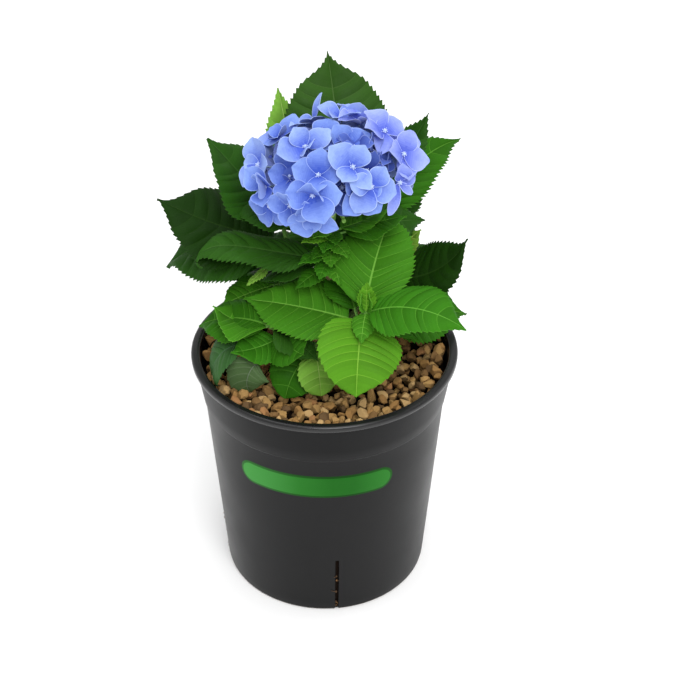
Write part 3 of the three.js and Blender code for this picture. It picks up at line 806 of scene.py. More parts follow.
def rough_ball(subdivisions):
    """Points and faces of a ball of near-even triangles."""
    shape = bmesh.new()
    bmesh.ops.create_icosphere(shape, subdivisions=subdivisions, radius=1)
    points = np.array([vertex.co for vertex in shape.verts])
    faces = np.array([[vertex.index for vertex in face.verts] for face in shape.faces])
    shape.free()
    return points, faces


def turned(points, random):
    """Points turned every way at random."""
    matrix, _ = np.linalg.qr(random.normal(size=(3, 3)))
    if np.linalg.det(matrix) < 0:
        matrix[:, 0] *= -1
    return points @ matrix.T


def stone_points(ball_points, random):
    """A ball chopped by flat planes into an angular stone."""
    points = ball_points * (1 + 0.03 * random.normal(size=(len(ball_points), 1)))
    for way in unit(random.normal(size=(STONE_CUTS, 3))):
        depth = random.uniform(0.5, 0.8)
        over = points @ way - depth
        points = points - np.where(over > 0, over, 0)[:, None] * way * 0.94
    points = points * np.array([1, random.uniform(*STONE_FLATNESS), random.uniform(*STONE_FLATNESS)])
    return turned(points, random)


def scatter_stones(gather, count, level, rise, ball_shape, random):
    """Stones dealt out by the golden angle, banked up towards the pot's wall and lower at the front."""
    points, faces = ball_shape
    for i in range(count):
        turn = math.radians(i * GOLDEN_TURN + random.uniform(-STONE_TURN_CHANCE, STONE_TURN_CHANCE))
        size = random.uniform(*STONE_RADIUS)
        dip = STONE_FRONT_DIP * max(0, -math.sin(turn)) ** 2
        shift = random.uniform(-STONE_SHIFT_CHANCE, STONE_SHIFT_CHANCE)
        distance = STONE_EDGE * math.sqrt((i + 0.5) / count) + shift
        distance = min(distance, STONE_REACH - dip - 0.85 * size)
        bank = (GRAVEL_BANK - dip) * smooth_step(distance, *GRAVEL_BANK_RADII)
        height = level + random.uniform(*rise) + bank
        place = np.array([distance * math.cos(turn), distance * math.sin(turn), height])
        tint = random.choice(len(STONE_TINTS), p=STONE_SHARES)
        shape = stone_points(points, random) * size
        first, second, third = np.moveaxis(shape[faces], 1, 0)
        # Painted shade: each face takes a lighter or darker copy of its stone's colour by how far it looks up
        upward = unit(np.cross(second - first, third - first))[:, 2]
        shade = len(STONE_PAINTED_SHADE_LIMITS) - np.searchsorted(STONE_PAINTED_SHADE_LIMITS, upward)
        if np.linalg.norm((place - STEM_FOOT)[:2]) > STEM_CLEARANCE:
            gather.add(shape + place, faces, tint * len(STONE_PAINTED_SHADES) + shade)


def make_gravel():
    random = np.random.default_rng(SEED)
    stones = Gather()
    scatter_stones(stones, LOW_STONES, SOIL_LEVEL, LOW_STONE_RISE, rough_ball(2), random)
    scatter_stones(stones, TOP_STONES, GRAVEL_LEVEL, TOP_STONE_RISE, rough_ball(3), random)
    looks = [
        organic(f"stone_{i}_{k}", scaled(colour, shade), 0.92, 0.08, 420, 0.0022)
        for i, colour in enumerate(STONE_TINTS) for k, shade in enumerate(STONE_PAINTED_SHADES)
    ]
    piece("gravel_stones", stones, looks, smooth=False)
    make_soil(random)


def make_soil(random):
    """The dark filling under the stones, which also shows in the slits."""
    soil = Gather()
    turns = np.arange(0, 360, 4.0)
    foot = POT_FLOOR + GAP
    edge = [(pot_inside(height) - GAP, height) for height in (foot, *SOIL_HEIGHTS, SOIL_LEVEL)]
    wall = revolved(edge, turns)
    soil.add(wall, grid_faces(len(edge), len(turns), closed=True))
    reach = edge[-1][0]
    top = revolved([(reach * share, SOIL_LEVEL) for share in (1, 0.85, 0.7, 0.55, 0.4, 0.25, 0.1)], turns)
    top[1:, :, 2] += random.uniform(-0.8, 0.8, size=top[1:, :, 2].shape)
    soil.add(top, grid_faces(len(top), len(turns), closed=True))
    for ring, height, flip in ((top[-1], SOIL_LEVEL, False), (wall[0], foot, True)):
        soil.add(np.vstack([ring, UP * height]), fan_faces(len(turns), flip))
    earth = organic("dark_soil", (0.010, 0.006, 0.004), 0.95, 0.05, 500, 0.002)
    piece("soil_filling", soil, [earth], ["gravel_bed"])
    make_fibres(random)


def make_fibres(random):
    """Root hairs and crumbs caught in the slits."""
    fibres = Gather()
    for turn in SLIT_TURNS:
        out = np.array([math.cos(math.radians(turn)), math.sin(math.radians(turn)), 0])
        along = np.array([-out[1], out[0], 0])
        for height in FIBRE_HEIGHTS:
            start = out * (body_radius(height) - 2) + UP * height + along * random.uniform(-1, 1)
            reach = out * 2.6 + along * random.uniform(-5, 5) + UP * random.uniform(-2, 3)
            bend = start + out * 2.4 + along * random.uniform(-1, 1)
            twig(fibres, [start, bend, start + reach], FIBRE_RADII, 8, 6, int(random.integers(2)))
            ball(fibres, start + out * 1.2, random.uniform(0.7, 1.2), int(random.integers(2)))
    looks = [
        organic("root_hair", (0.20, 0.105, 0.045), 0.9, 0.1, 600, 0.001),
        organic("soil_crumb", (0.075, 0.045, 0.025), 0.95, 0.1, 600, 0.001),
    ]
    piece("slit_fibres", fibres, looks)


# Stems

def shoot_way(foot, tip):
    return unit(np.subtract(tip, foot).astype(float))


def stem_line(shares):
    crown = SHOOTS["crown"]
    return bezier([
        STEM_FOOT, STEM_FOOT + UP * STEM_BEND, STEM_TOP - shoot_way(crown[1], crown[2]) * STEM_BEND, STEM_TOP,
    ], shares)


def bark_relief(random, depth, ridges):
    """Ridges that wander round the limb, with low swellings across them."""
    phases = random.uniform(0, 2 * math.pi, 4)

    def relief(share, angle):
        drift = angle + 0.5 * np.sin(share * 7 + phases[0])
        fine = np.sin(ridges * drift + phases[1])
        fine = fine + 0.6 * np.sin((ridges + 3) * angle - share * 19 + phases[2])
        rings = 0.5 * np.sin(share * 40 + 2 * np.sin(angle + phases[3]))
        return depth * (fine + rings)

    return relief


def knots(shares, places, height, width):
    """Swollen joints at some shares of a limb."""
    return sum(height * np.exp(-((shares - place) / width) ** 2) for place in places)


def make_stem():
    random = np.random.default_rng(SEED + 1)
    bark = Gather()
    shares = np.linspace(0, 1, 90)
    height = shares * (STEM_TOP[2] - STEM_FOOT[2])
    radii = between(STEM_RADII, shares) + STEM_FLARE * np.exp(-height / STEM_FLARE_HEIGHT)
    radii = radii + knots(shares, [shoot[0] for shoot in SHOOTS.values() if shoot[0] < 1], 0.5, 0.02)
    tube(bark, stem_line(shares), radii, 40, 0, bark_relief(random, 0.16, 11))
    look = organic("young_bark", (0.17, 0.125, 0.06), 0.85, 0.2, 260, 0.0016)
    piece("stem_bark", bark, [look], ["main_stem"])


def cane_line(shoot, shares):
    stem_share, foot, tip, _ = shoot
    start = stem_line(np.array([stem_share]))[0]
    end = np.array(foot, float)
    span = np.linalg.norm(end - start)
    out = unit((end - start) * np.array([1, 1, 0]))
    out[2] = max(CANE_LEAST_RISE, (end[2] - start[2]) / span * CANE_STEEPNESS)
    leave = start + unit(out) * span * CANE_LEAVE_SHARE
    enter = end - shoot_way(foot, tip) * span * CANE_ENTER_SHARE
    return bezier([start, leave, enter, end], shares)


def make_canes():
    random = np.random.default_rng(SEED + 2)
    canes = Gather()
    shares = np.linspace(0, 1, 40)
    radii = between(CANE_RADII, shares) + knots(shares, [0.06, 0.97], 0.5, 0.05)
    caned = {name: shoot for name, shoot in SHOOTS.items() if shoot[0] < 1}
    for shoot in caned.values():
        line = cane_line(shoot, shares)
        tube(canes, line, radii, 18, 0, bark_relief(random, 0.07, 7))
        add_lenticels(canes, line, radii, random)
    looks = [
        organic("green_cane", (0.12, 0.20, 0.05), 0.7, 0.3, 320, 0.0008),
        organic("lenticel", (0.24, 0.20, 0.11), 0.9, 0.1, 600, 0.0008),
    ]
    piece("green_canes", canes, looks, [f"{name}_cane" for name in caned])


def add_lenticels(gather, line, radii, random):
    """Small corky specks on the skin of a cane."""
    for _ in range(CANE_SPECKS):
        row = int(random.integers(4, len(line) - 3))
        ahead = unit(line[row + 1] - line[row])
        out = random.normal(size=3)
        out = unit(out - ahead * np.dot(out, ahead))
        ball(gather, line[row] + out * radii[row] * 0.95, random.uniform(0.3, 0.5), 1, rings=4, sides=6)


# Leaves

def leaf_axes(leaf, shares):
    """Directions along the rib, up out of the blade and across it, at shares of the blade's length."""
    turn = math.radians(leaf["turn"])
    roll = math.radians(leaf["roll"])
    pitch = np.radians(leaf["rise"] - leaf["droop"] * shares ** leaf["late"])[..., None]
    ahead = np.array([math.cos(turn), math.sin(turn), 0])
    across = np.array([-math.sin(turn), math.cos(turn), 0])
    along = ahead * np.cos(pitch) + UP * np.sin(pitch)
    level = UP * np.cos(pitch) - ahead * np.sin(pitch)
    up = level * math.cos(roll) + across * math.sin(roll)
    side = across * math.cos(roll) - level * math.sin(roll)
    return along, up, side


def half_width_share(share, pinch, fade):
    def shape(s):
        return s ** LEAF_SWELL * (1 - s) ** fade

    widest = LEAF_SWELL / (LEAF_SWELL + fade)
    return shape(share) / shape(widest) * (1 - pinch * smooth_step(share, LEAF_TIP_START, 1))


def rib_line(leaf, root):
    """Points down the middle of the blade, from its foot to its tip."""
    shares = np.linspace(0, 1, RIB_STEPS + 1)
    along, _, _ = leaf_axes(leaf, (shares[:-1] + shares[1:]) / 2)
    start = root + leaf_axes(leaf, np.zeros(1))[0][0] * leaf["petiole"]
    steps = np.cumsum(along * leaf["length"] / RIB_STEPS, axis=0)
    return shares, np.vstack([start, start + steps])


def sweep(t):
    """How far a side vein that leaves the rib at t has run forward when it meets the edge."""
    return VEIN_SWEEP * (1 - t) * (1 - np.exp(-t / VEIN_FAN))


def leaf_rows(length):
    """Rows of a blade along its side veins: place on the rib, half vein width, edge, tooth and vein mark."""
    table = np.linspace(0, 1, 400)
    first, last = TOOTH_SPAN
    teeth = max(7, round(length / TOOTH_PITCH))
    tooth_edges = (first + (last - first) * (np.arange(teeth)[:, None] + TOOTH_PHASES) / teeth).ravel()
    depth = np.sin(math.pi * (0.22 + 0.56 * np.arange(teeth) / teeth))
    edge = np.concatenate([np.linspace(0, first, 5)[:-1], tooth_edges, np.linspace(last, 1, 6)])
    tooth = np.concatenate([np.zeros(4), (depth[:, None] * TOOTH_PROFILE).ravel(), np.zeros(6)])
    place = np.interp(edge, table + sweep(table), table)
    pairs = 8 if length > 60 else 6
    peaks = 4 + 4 * np.arange(teeth) + 2
    wanted = np.linspace(*VEIN_SPAN, pairs)
    veins = sorted({int(peaks[np.abs(edge[peaks] - want).argmin()]) for want in wanted})
    rows = []
    for i in range(len(edge)):
        if i in veins:
            room = 0.7 * min(place[i] - place[i - 1], place[i + 1] - place[i])
            half = min(room, VEIN_HALF_WIDTH / length)
            rows += [(place[i], side * half, edge[i], tooth[i], 1) for side in (-1, 0, 1)]
        else:
            rows.append((place[i], 0, edge[i], tooth[i], 0))
    return np.array(rows).T, edge[veins]


def quilt(edge, vein_edges):
    """0 on a side vein and 1 half way to the next, with the cell's number and the share of the way across."""
    marks = np.concatenate([[0], vein_edges, [1]])
    cell = np.clip(np.searchsorted(marks, edge, side="right") - 1, 0, len(marks) - 2)
    share = (edge - marks[cell]) / (marks[cell + 1] - marks[cell])
    return np.sin(math.pi * share) ** 0.7, cell, share


def leaf_grid(leaf, root, random):
    """Points of the upper and lower face of a blade, and the marks that colour its faces."""
    length = leaf["length"]
    half = leaf["width"] / 2
    (place, offset, edge, tooth, vein), vein_edges = leaf_rows(length)
    w = np.concatenate([LEAF_COLUMNS[:0:-1], LEAF_COLUMNS])
    hand = np.concatenate([-np.ones(len(LEAF_COLUMNS) - 1), [0], np.ones(len(LEAF_COLUMNS) - 1)])
    # Outline with its teeth
    on_rib = place[:, None] + offset[:, None] * (1 - 0.7 * w)
    bite = tooth[:, None] * w ** 7 * TOOTH_DEPTH * max(length, FULL_TOOTH_LENGTH)
    share = np.clip(on_rib + sweep(on_rib) * w ** VEIN_BOW + bite / length * 0.7, 0, 1)
    rib_half = (0.2 + 0.7 * (1 - share)) * min(1, length / FULL_RIB_LENGTH)
    reach = np.maximum(half_width_share(share, leaf["pinch"], leaf["fade"]) * half, rib_half)
    x = hand * (rib_half + (reach - rib_half) * w + bite * smooth_step(1 - share, 0, 0.08))
    # Swelling between the veins, waves, fold and curl
    bulge, cell, across = quilt(edge, vein_edges)
    cell_swing = random.uniform(0.6, 1.3, size=(2, len(vein_edges) + 1))
    swing = np.where(hand > 0, cell_swing[1][cell][:, None], cell_swing[0][cell][:, None])
    _, _, _, swell = LEAF_TINTS[leaf["tint"]]
    puff = swell * length * bulge[:, None] * swing * (4 * w * (1 - w)) ** 0.8
    phase = random.uniform(0, 2 * math.pi, 2)
    waves = np.sin(2 * math.pi * random.uniform(1.6, 2.4) * share + np.where(hand > 0, phase[0], phase[1]))
    lift = (np.hypot(x, 2) - 2) * math.tan(math.radians(leaf["fold"])) - LEAF_CURL * x * x / half
    lift = lift + puff + WAVE_SHARE * length * waves * w ** 2 - EDGE_DROP_SHARE * length * w ** 8
    middle = (w == 0) & (hand == 0)
    lift = lift - RIB_GROOVE * middle
    keel = VEIN_KEEL * vein[:, None] * (offset[:, None] == 0) * (1 - w)
    under = lift - LEAF_THICKNESS - keel - RIB_KEEL * rib_half * middle
    # Bent along the rib
    shares, rib = rib_line(leaf, root)
    centre = np.stack([np.interp(share, shares, rib[:, axis]) for axis in range(3)], axis=-1)
    _, up, side = leaf_axes(leaf, share)
    flat = centre + side * x[..., None]
    return flat + up * lift[..., None], flat + up * under[..., None], vein, offset, cell, across


def add_leaf(gather, leaf, root, first_slot, random):
    """Upper face, lower face and rim of one leaf. Slots run: the blade's steps of tone and painted shade,
    vein, rib, underside.
    """
    top, under, vein, offset, cell, across = leaf_grid(leaf, root, random)
    vein_slot, rib_slot, under_slot = first_slot + len(BLADE_TONE_AND_SHADE_STEPS) + np.arange(3)
    column = np.arange(top.shape[1] - 1)
    half = len(column) // 2
    rib = np.isin(column, (half - 1, half))
    strip = ((vein[:-1] > 0) & (vein[1:] > 0) & (offset[:-1] < offset[1:]))[:, None]
    shades = random.integers(1, 4, size=(2, cell.max() + 1))
    # Painted shade: across each cell between side veins, faces near one vein go a step darker and those near
    # the next a step lighter.
    painted_shade_step = (across[:-1] > 0.55).astype(int) - (across[:-1] < 0.3)
    blade = shades[(column >= half).astype(int), cell[:-1, None]] + painted_shade_step[:, None]
    blade = first_slot + np.clip(blade, 0, len(BLADE_TONE_AND_SHADE_STEPS) - 1)
    upper = np.where(rib, rib_slot, np.where(strip, vein_slot, blade))
    lower = np.where(rib | strip, rib_slot, under_slot)
    add_sheet(gather, top, under, upper, lower, vein_slot)


def tint_materials(tint):
    """Looks of a leaf: the steps of its blade's tone and painted shade, its veins, its rib and its underside.
    """
    blade, shine, contrast, _ = LEAF_TINTS[tint]
    gains = dict(enumerate(BLADE_TONE_AND_SHADE_STEPS))
    gains["vein"] = 1 + contrast * (VEIN_GAIN - 1)
    gains["rib"] = 1 + contrast * (RIB_GAIN - 1)
    looks = []
    for name, gain in gains.items():
        looks.append(leaf_skin(f"leaf_{tint}_{name}", scaled(blade, gain), 0.5, shine))
    return looks + [leaf_skin(f"leaf_{tint}_under", scaled(blade, UNDER_GAIN), 0.65, 0.04)]


def make_leaves():
    random = np.random.default_rng(SEED + 3)
    looks = {tint: tint_materials(tint) for tint in LEAF_TINTS}
    twigs = Gather()
    for name, (_, foot, tip, leaves) in SHOOTS.items():
        foot, tip = np.array(foot, float), np.array(tip, float)
        shares = np.linspace(0, 1, 24)
        radii = between(SHOOT_RADII, shares) + knots(shares, [leaf["at"] for leaf in leaves], 0.5, 0.04)
        tube(twigs, between((foot, tip), shares[:, None]), radii, 14, 0, bark_relief(random, 0.05, 6))
        blades = Gather()
        tints = sorted({leaf["tint"] for leaf in leaves})
        for leaf in leaves:
            root = between((foot, tip), leaf["at"])
            add_leaf(blades, leaf, root, (len(BLADE_TONE_AND_SHADE_STEPS) + 3) * tints.index(leaf["tint"]), random)
            add_petiole(twigs, leaf, root)
        materials = [look for tint in tints for look in looks[tint]]
        piece(f"{name}_leaves", blades, materials, [f"{name}_shoot"])
    looks = [
        organic("shoot_green", (0.10, 0.24, 0.035), 0.6, 0.3, 320, 0.0006),
        organic("petiole_green", (0.12, 0.29, 0.045), 0.5, 0.3, 320, 0.0005),
        organic("petiole_lime", (0.30, 0.52, 0.080), 0.5, 0.2, 320, 0.0005),
    ]
    piece("leaf_stalks", twigs, looks)


def add_petiole(gather, leaf, root):
    """The stalk that runs from the shoot into the underside of the rib."""
    _, rib = rib_line(leaf, root)
    size = min(1, 0.55 + leaf["length"] / 200) * leaf["stout"]
    up = leaf_axes(leaf, np.zeros(1))[1][0]
    line = np.vstack([between((root, rib[0]), np.linspace(0, 1, 8)[:, None]), rib[4], rib[9]])
    line = line - up * np.concatenate([np.linspace(0.2, 0.9, 8), [1.0, 0.9]])[:, None] * size
    radii = np.concatenate([np.linspace(*PETIOLE_RADII, 8), [0.8, 0.4]]) * size
    tube(gather, line, radii, 10, leaf["stalk"])


# Flower head

def seeded_numbers(seed):
    """Chance numbers between 0 and 1 that come out the same every time."""
    state = seed
    while True:
        state = state * 16807 % 2147483647
        yield state / 2147483647


def way_out(turn, polar):
    turn, polar = math.radians(turn), math.radians(polar)
    return np.array([math.sin(polar) * math.cos(turn), math.sin(polar) * math.sin(turn), math.cos(polar)])


def golden_florets(count, lowest, chance):
    """Florets dealt out by the golden angle from the top of the head down to its lowest ring."""
    for i in range(count):
        turn = i * GOLDEN_TURN
        polar = math.degrees(math.acos(1 - (1 - math.cos(math.radians(lowest))) * (i + 0.5) / count))
        spin = 90 * next(chance)
        cup = 0.12 + 0.45 * next(chance)
        pinch = 0.5 * next(chance) - 0.25
        sepals = []
        for k in range(4):
            sepals.append((spin + 90 * k + 18 * next(chance) - 9, cup + (pinch if k % 2 else -pinch), 1))
        nod = FLORET_NOD * np.array([4 * next(chance) - 2 for _ in range(3)])
        yield {
            "way": way_out(turn, polar), "down": way_out(turn, polar + 90), "pull": nod,
            "lift": 7 * next(chance) - 4, "sepals": sepals,
        }


def front_floret(right, up, lift, tint, sepals):
    """A floret on the side of the head that faces the front, turned somewhat towards it."""
    flat = upright(right * FRONT_RIGHT + up * FRONT_UP) / FLORET_RING
    near = upright(FRONT_WAY) / FLORET_RING
    half = np.dot(flat, near) / np.dot(near, near)
    room = half ** 2 - (np.dot(flat, flat) - 1) / np.dot(near, near)
    way = unit(flat + near * (math.sqrt(max(room, 0)) - half))
    pull = FRONT_PULL + EDGE_PULL * (right / FLORET_RING[0]) ** 2
    return {
        "way": way, "down": -upright(FRONT_UP), "pull": pull * upright(FRONT_WAY),
        "lift": lift, "tint": tint, "sepals": sepals,
    }


def outer_florets():
    florets = [front_floret(*floret) for floret in FRONT_FLORETS]
    closest = math.cos(math.radians(FLORET_SPACING))
    front = upright(FRONT_WAY)
    for floret in golden_florets(BACK_FLORETS, LOWEST_POLAR, seeded_numbers(SEED)):
        free = all(np.dot(floret["way"], other["way"]) < closest for other in florets)
        if free and np.dot(unit(floret["way"] / FLORET_RING), front) < FRONT_LIMIT:
            florets.append(floret)
    return florets


def upright(way):
    """A direction of the world in the head's own leaning frame."""
    cosine, sine = math.cos(HEAD_LEAN), math.sin(HEAD_LEAN)
    return np.array([way[0] * cosine - way[2] * sine, way[1], way[2] * cosine + way[0] * sine])


def leaning(points):
    """The head's own frame turned by its lean and set on its place."""
    x, y, z = points[..., 0], points[..., 1], points[..., 2]
    cosine, sine = math.cos(HEAD_LEAN), math.sin(HEAD_LEAN)
    return np.stack([x * cosine + z * sine, y, z * cosine - x * sine], axis=-1) + HEAD_CENTRE


def floret_axes(floret, ring):
    """Centre of a floret and the ways it faces, points down and spreads sideways."""
    way = floret["way"]
    facing = unit(unit(way / ring) + way)
    place = way * ring + facing * floret["lift"]
    facing = unit(facing + floret["pull"])
    down = unit(floret["down"] - facing * np.dot(floret["down"], facing))
    return place, facing, down, np.cross(facing, down)


def sepal_half_width(share):
    """Half the breadth of a sepal at shares of its length: a narrow claw, then a round blade."""
    widest = 0.58
    claw = np.sin(math.pi / 2 * np.clip(share / widest, 0, 1)) ** 0.85
    crown = np.sqrt(np.clip(1 - ((share - widest) / (1 - widest)) ** 2, 0, 1))
    return np.where(share < widest, claw, crown)


def add_sepal(gather, place, axes, reach, pose, first_slot, random):
    """A thin, curved sepal. Slots run from the heart outwards, then come the pale rim, partly a painted
    highlight, and the back.
    """
    facing, ahead, across = axes
    share = np.sin(np.linspace(0.012, 0.5, 17) * math.pi)
    breadth = sepal_half_width(share) * reach * SEPAL_BREADTH * pose["breadth"] + 0.5
    columns = np.linspace(-1, 1, 11)
    u = columns[None, :] * np.maximum(breadth - SEPAL_RIM, 0.6 * breadth)[:, None]
    u = np.column_stack([-breadth, u, breadth])
    s = share[:, None]
    pointed = 1 + 0.1 * np.exp(-(u / (0.15 * reach)) ** 2) * s ** 6
    out = s * reach * pointed
    relative = u / (reach * SEPAL_BREADTH)
    lift = pose["curve"] * s ** 2 + pose["tip"] * s ** 5 + pose["curl"] * relative ** 2 * s
    lift = lift + pose["twist"] * relative * s - 0.05 * np.exp(-(relative / 0.12) ** 2) * s
    lift = lift + pose["ruffle"] * np.sin(5 * relative + pose["phase"]) * s ** 2
    run = ahead * math.cos(pose["pitch"]) + facing * math.sin(pose["pitch"])
    rise = facing * math.cos(pose["pitch"]) - ahead * math.sin(pose["pitch"])
    top = place + run * out[..., None] + across * u[..., None] + rise * (reach * lift)[..., None]
    under = top - rise * SEPAL_THICKNESS
    middle = (s[1:] + s[:-1]) / 2
    side = np.abs(relative[1:, 1:] + relative[:-1, :-1]) / 2
    # Steps from the heart's deep colour, partly painted shade in the cup, out to the blade's colour
    depth = (middle + 0.25 * side * middle - 0.12) * SEPAL_STEPS
    depth = depth + random.uniform(-0.3, 0.3, size=side.shape) + pose["glow"]
    upper = np.clip(depth.astype(int), 0, SEPAL_STEPS - 1)
    # The pale rim on the outer columns and the tip row is partly a painted highlight.
    upper[:, (0, -1)] = SEPAL_STEPS
    upper[-1] = SEPAL_STEPS
    lower = np.where(upper == SEPAL_STEPS, SEPAL_STEPS, SEPAL_STEPS + 1)
    rim = first_slot + SEPAL_STEPS
    add_sheet(gather, leaning(top), leaning(under), first_slot + upper, first_slot + lower, rim)


def sepal_pose(pitch, breadth, random):
    return {
        "pitch": pitch + random.uniform(-0.1, 0.1), "breadth": breadth, "curve": random.uniform(-0.28, 0.16),
        "tip": random.uniform(-0.16, 0.08), "curl": random.uniform(-0.14, 0.42),
        "twist": random.uniform(-0.16, 0.16), "ruffle": random.uniform(0.015, 0.045),
        "phase": random.uniform(0, 2 * math.pi), "glow": random.uniform(-1.2, 0.9),
    }


def add_floret(gather, eyes, floret, ring, tint, reach, random):
    place, facing, down, side = floret_axes(floret, ring)
    first_slot = tint * (SEPAL_STEPS + 2)
    for k, sepal in enumerate(floret["sepals"]):
        bearing, pitch, size, breadth = (*sepal, 1)[:4]
        angle = math.radians(bearing)
        ahead = down * math.cos(angle) + side * math.sin(angle)
        across = side * math.cos(angle) - down * math.sin(angle)
        seat = place + facing * (0.8 * (k % 2) + 0.15 * k)
        length = reach * size * random.uniform(0.92, 1.05)
        pose = sepal_pose(pitch, breadth, random)
        add_sepal(gather, seat, (facing, ahead, across), length, pose, first_slot, random)
    add_eye(eyes, place + facing * EYE_HEIGHT, (facing, down, side), random)


def add_eye(gather, centre, axes, random):
    """The small true flower in a floret's middle: a bead ringed by stamens on a blue seat."""
    facing, down, side = axes
    ball(gather, leaning(centre), EYE_RADIUS, 0)
    ball(gather, leaning(centre - facing * EYE_HEIGHT), EYE_SEAT_RADIUS, 2)
    for k in range(STAMENS):
        angle = 2 * math.pi * k / STAMENS + random.uniform(-0.2, 0.2)
        out = down * math.cos(angle) + side * math.sin(angle)
        tip = centre + out * STAMEN_RING + facing * random.uniform(-0.3, 0.6)
        ball(gather, leaning(tip), STAMEN_RADIUS, 1, rings=4, sides=6)


def floret_tint(floret, random):
    """Violet towards the right and the top, bluer towards the left and below."""
    if "tint" in floret:
        return floret["tint"]
    way = floret["way"]
    lean = 0.5 * way[0] + 0.4 * way[2] + 0.04 * floret["lift"] + random.normal() * 0.16
    return 2 if lean > 0.42 else (1 if lean > 0.05 else 0)


def sepal_materials():
    looks = []
    for tint, ends in SEPAL_TINTS.items():
        ends = np.array(ends)
        colours = [between(ends, share) for share in np.linspace(0, 1, SEPAL_STEPS)]
        colours += [between((ends[1], SEPAL_PALE), share) for share in SEPAL_RIM_HIGHLIGHT_AND_BACK_PALENESS]
        for i, colour in enumerate(colours):
            looks.append(organic(f"sepal_{tint}_{i}", colour, 0.6, 0.08, 240, 0.0005, sheen=0.05))
    return looks


def make_flower():
    random = np.random.default_rng(SEED + 4)
    looks = sepal_materials()
    eyes = Gather()
    outer = Gather()
    florets = outer_florets()
    for floret in florets:
        add_floret(outer, eyes, floret, FLORET_RING, floret_tint(floret, random), SEPAL_REACH, random)
    piece("outer_sepals", outer, looks, ["flower_head"])
    inner = Gather()
    ring = FLORET_RING * INNER_RING_SHARE
    hidden = list(golden_florets(INNER_FLORETS, LOWEST_POLAR, seeded_numbers(SEED + 1)))
    for floret in hidden:
        # The hidden inner florets take the deep tint, painted shade for the gaps between the outer ones.
        add_floret(inner, eyes, floret, ring, 3, SEPAL_REACH * INNER_REACH_SHARE, random)
    piece("inner_sepals", inner, looks)
    bead = [
        organic("eye_bead", (0.42, 0.52, 0.78), 0.35, 0.4, 600, 0.0004),
        organic("eye_stamen", (0.60, 0.68, 0.90), 0.5, 0.3, 600, 0.0004),
        organic("eye_seat", (0.085, 0.125, 0.50), 0.6, 0.2, 600, 0.0004),
    ]
    piece("floret_eyes", eyes, bead)
    make_corymb(florets, hidden, random)


def make_corymb(florets, hidden, random):
    """The forking stalks that carry the florets, with green buds under the head."""
    stalks = Gather()
    crown = SHOOTS["crown"]
    foot = np.array(crown[2], float)
    fork = leaning(np.array([0.0, 0, -22]))
    middle = between((foot, fork), 0.5)
    twig(stalks, [foot, middle, fork], STALK_RADII, 16, 12, 0, bark_relief(random, 0.05, 6))
    rays = list(golden_florets(RAYS, LOWEST_RAY, seeded_numbers(SEED + 2)))
    tips = [leaning(ray["way"] * FLORET_RING * RAY_SHARE) for ray in rays]
    for tip in tips:
        start = between((foot, fork), random.uniform(0.35, 1))
        middle = between((start, tip), 0.5) - UP * 3
        twig(stalks, [start, middle, tip], RAY_RADII, 12, 9)
    inner_ring = FLORET_RING * INNER_RING_SHARE
    for floret, ring in [(f, FLORET_RING) for f in florets] + [(f, inner_ring) for f in hidden]:
        place, facing, _, _ = floret_axes(floret, ring)
        end = leaning(place)
        start = min(tips, key=lambda tip: np.linalg.norm(tip - end))
        middle = end - (leaning(place + facing) - end) * 12
        twig(stalks, [start, middle, end], PEDICEL_RADII, 9, 7, 1)
    looks = [
        organic("corymb_green", (0.16, 0.30, 0.07), 0.6, 0.25, 320, 0.0006),
        organic("pedicel_blue", (0.24, 0.34, 0.42), 0.6, 0.2, 320, 0.0005),
    ]
    piece("flower_stalks", stalks, looks)
    make_buds(tips, foot, random)


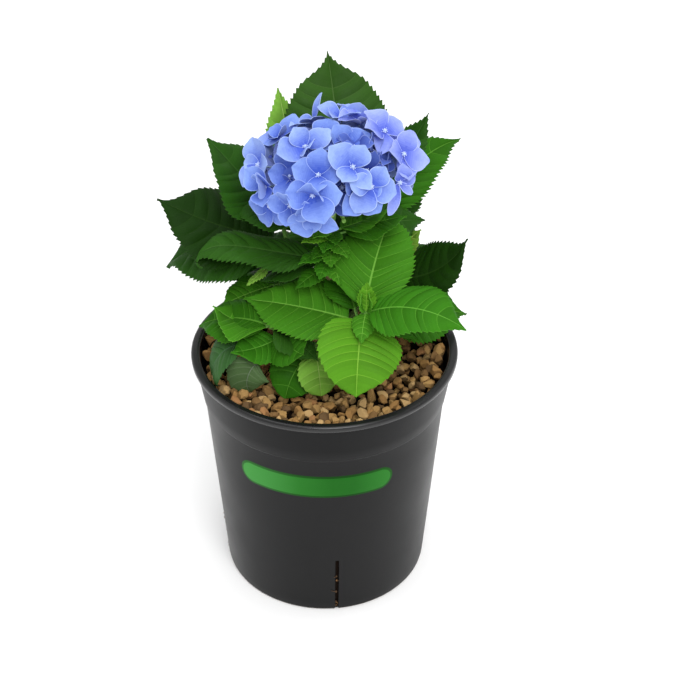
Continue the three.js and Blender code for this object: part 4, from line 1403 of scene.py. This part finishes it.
def make_buds(tips, foot, random):
    """Clusters of closed buds on short stalks, low round the head."""
    buds = Gather()
    for tip in tips:
        for _ in range(RAY_BUDS):
            start = between((foot, tip), random.uniform(0.25, 0.75))
            out = unit(unit(tip - foot) * np.array([1, 1, 0.1]) + random.normal(size=3) * 0.45)
            end = start + out * random.uniform(7, 15)
            twig(buds, [start, start + out * 4 - UP * 2, end], BUD_STALK_RADII, 6, 6)
            ball(buds, end, random.uniform(1.3, 2.0), int(random.integers(1, 3)), stretch=(1, 1, 1.15))
    looks = [
        organic("bud_stalk", (0.16, 0.32, 0.06), 0.6, 0.25, 400, 0.0005),
        organic("bud_green", (0.20, 0.42, 0.07), 0.5, 0.3, 400, 0.0006),
        organic("bud_pale", (0.34, 0.50, 0.20), 0.5, 0.3, 400, 0.0006),
    ]
    piece("flower_buds", buds, looks)


# Studio

def make_floor():
    mesh = bpy.data.meshes.new("studio_floor")
    corners = [(x * FLOOR_REACH, y * FLOOR_REACH, 0) for x, y in ((-1, -1), (1, -1), (1, 1), (-1, 1))]
    mesh.from_pydata(corners, [], [(0, 1, 2, 3)])
    mesh.materials.append(organic("pale_floor", (0.95, 0.95, 0.95), 0.9, 0.0, 30, 0.0002))
    show("studio_floor", mesh)


def make_light():
    world = bpy.data.worlds.new("soft_studio")
    bpy.context.scene.world = world
    world.use_nodes = True
    sky = world.node_tree.nodes["Background"]
    sky.inputs["Color"].default_value = (1, 1, 1, 1)
    sky.inputs["Strength"].default_value = SKY_STRENGTH
    for name, (place, size, power) in LIGHTS.items():
        data = bpy.data.lights.new(name, "AREA")
        data.shape = "SQUARE"
        data.size = size
        data.energy = power
        light = show(name, data)
        light.location = place
        light.visible_camera = False
        light.rotation_mode = "QUATERNION"
        light.rotation_quaternion = (LIGHT_TARGET - Vector(place)).to_track_quat("-Z", "Y")


def make_camera():
    """A long lens that looks down on the plant from the front."""
    data = bpy.data.cameras.new("camera")
    data.sensor_width = SENSOR_WIDTH
    data.lens = CAMERA_LENS
    camera = show("camera", data)
    camera.location = CAMERA_PLACE
    camera.rotation_euler = (CAMERA_TILT, 0, 0)
    bpy.context.scene.camera = camera


make_camera()
make_light()
make_floor()
make_pot()
make_pill()
make_gravel()
make_stem()
make_canes()
make_leaves()
make_flower()

bpy.context.scene.view_settings.view_transform = "Standard"
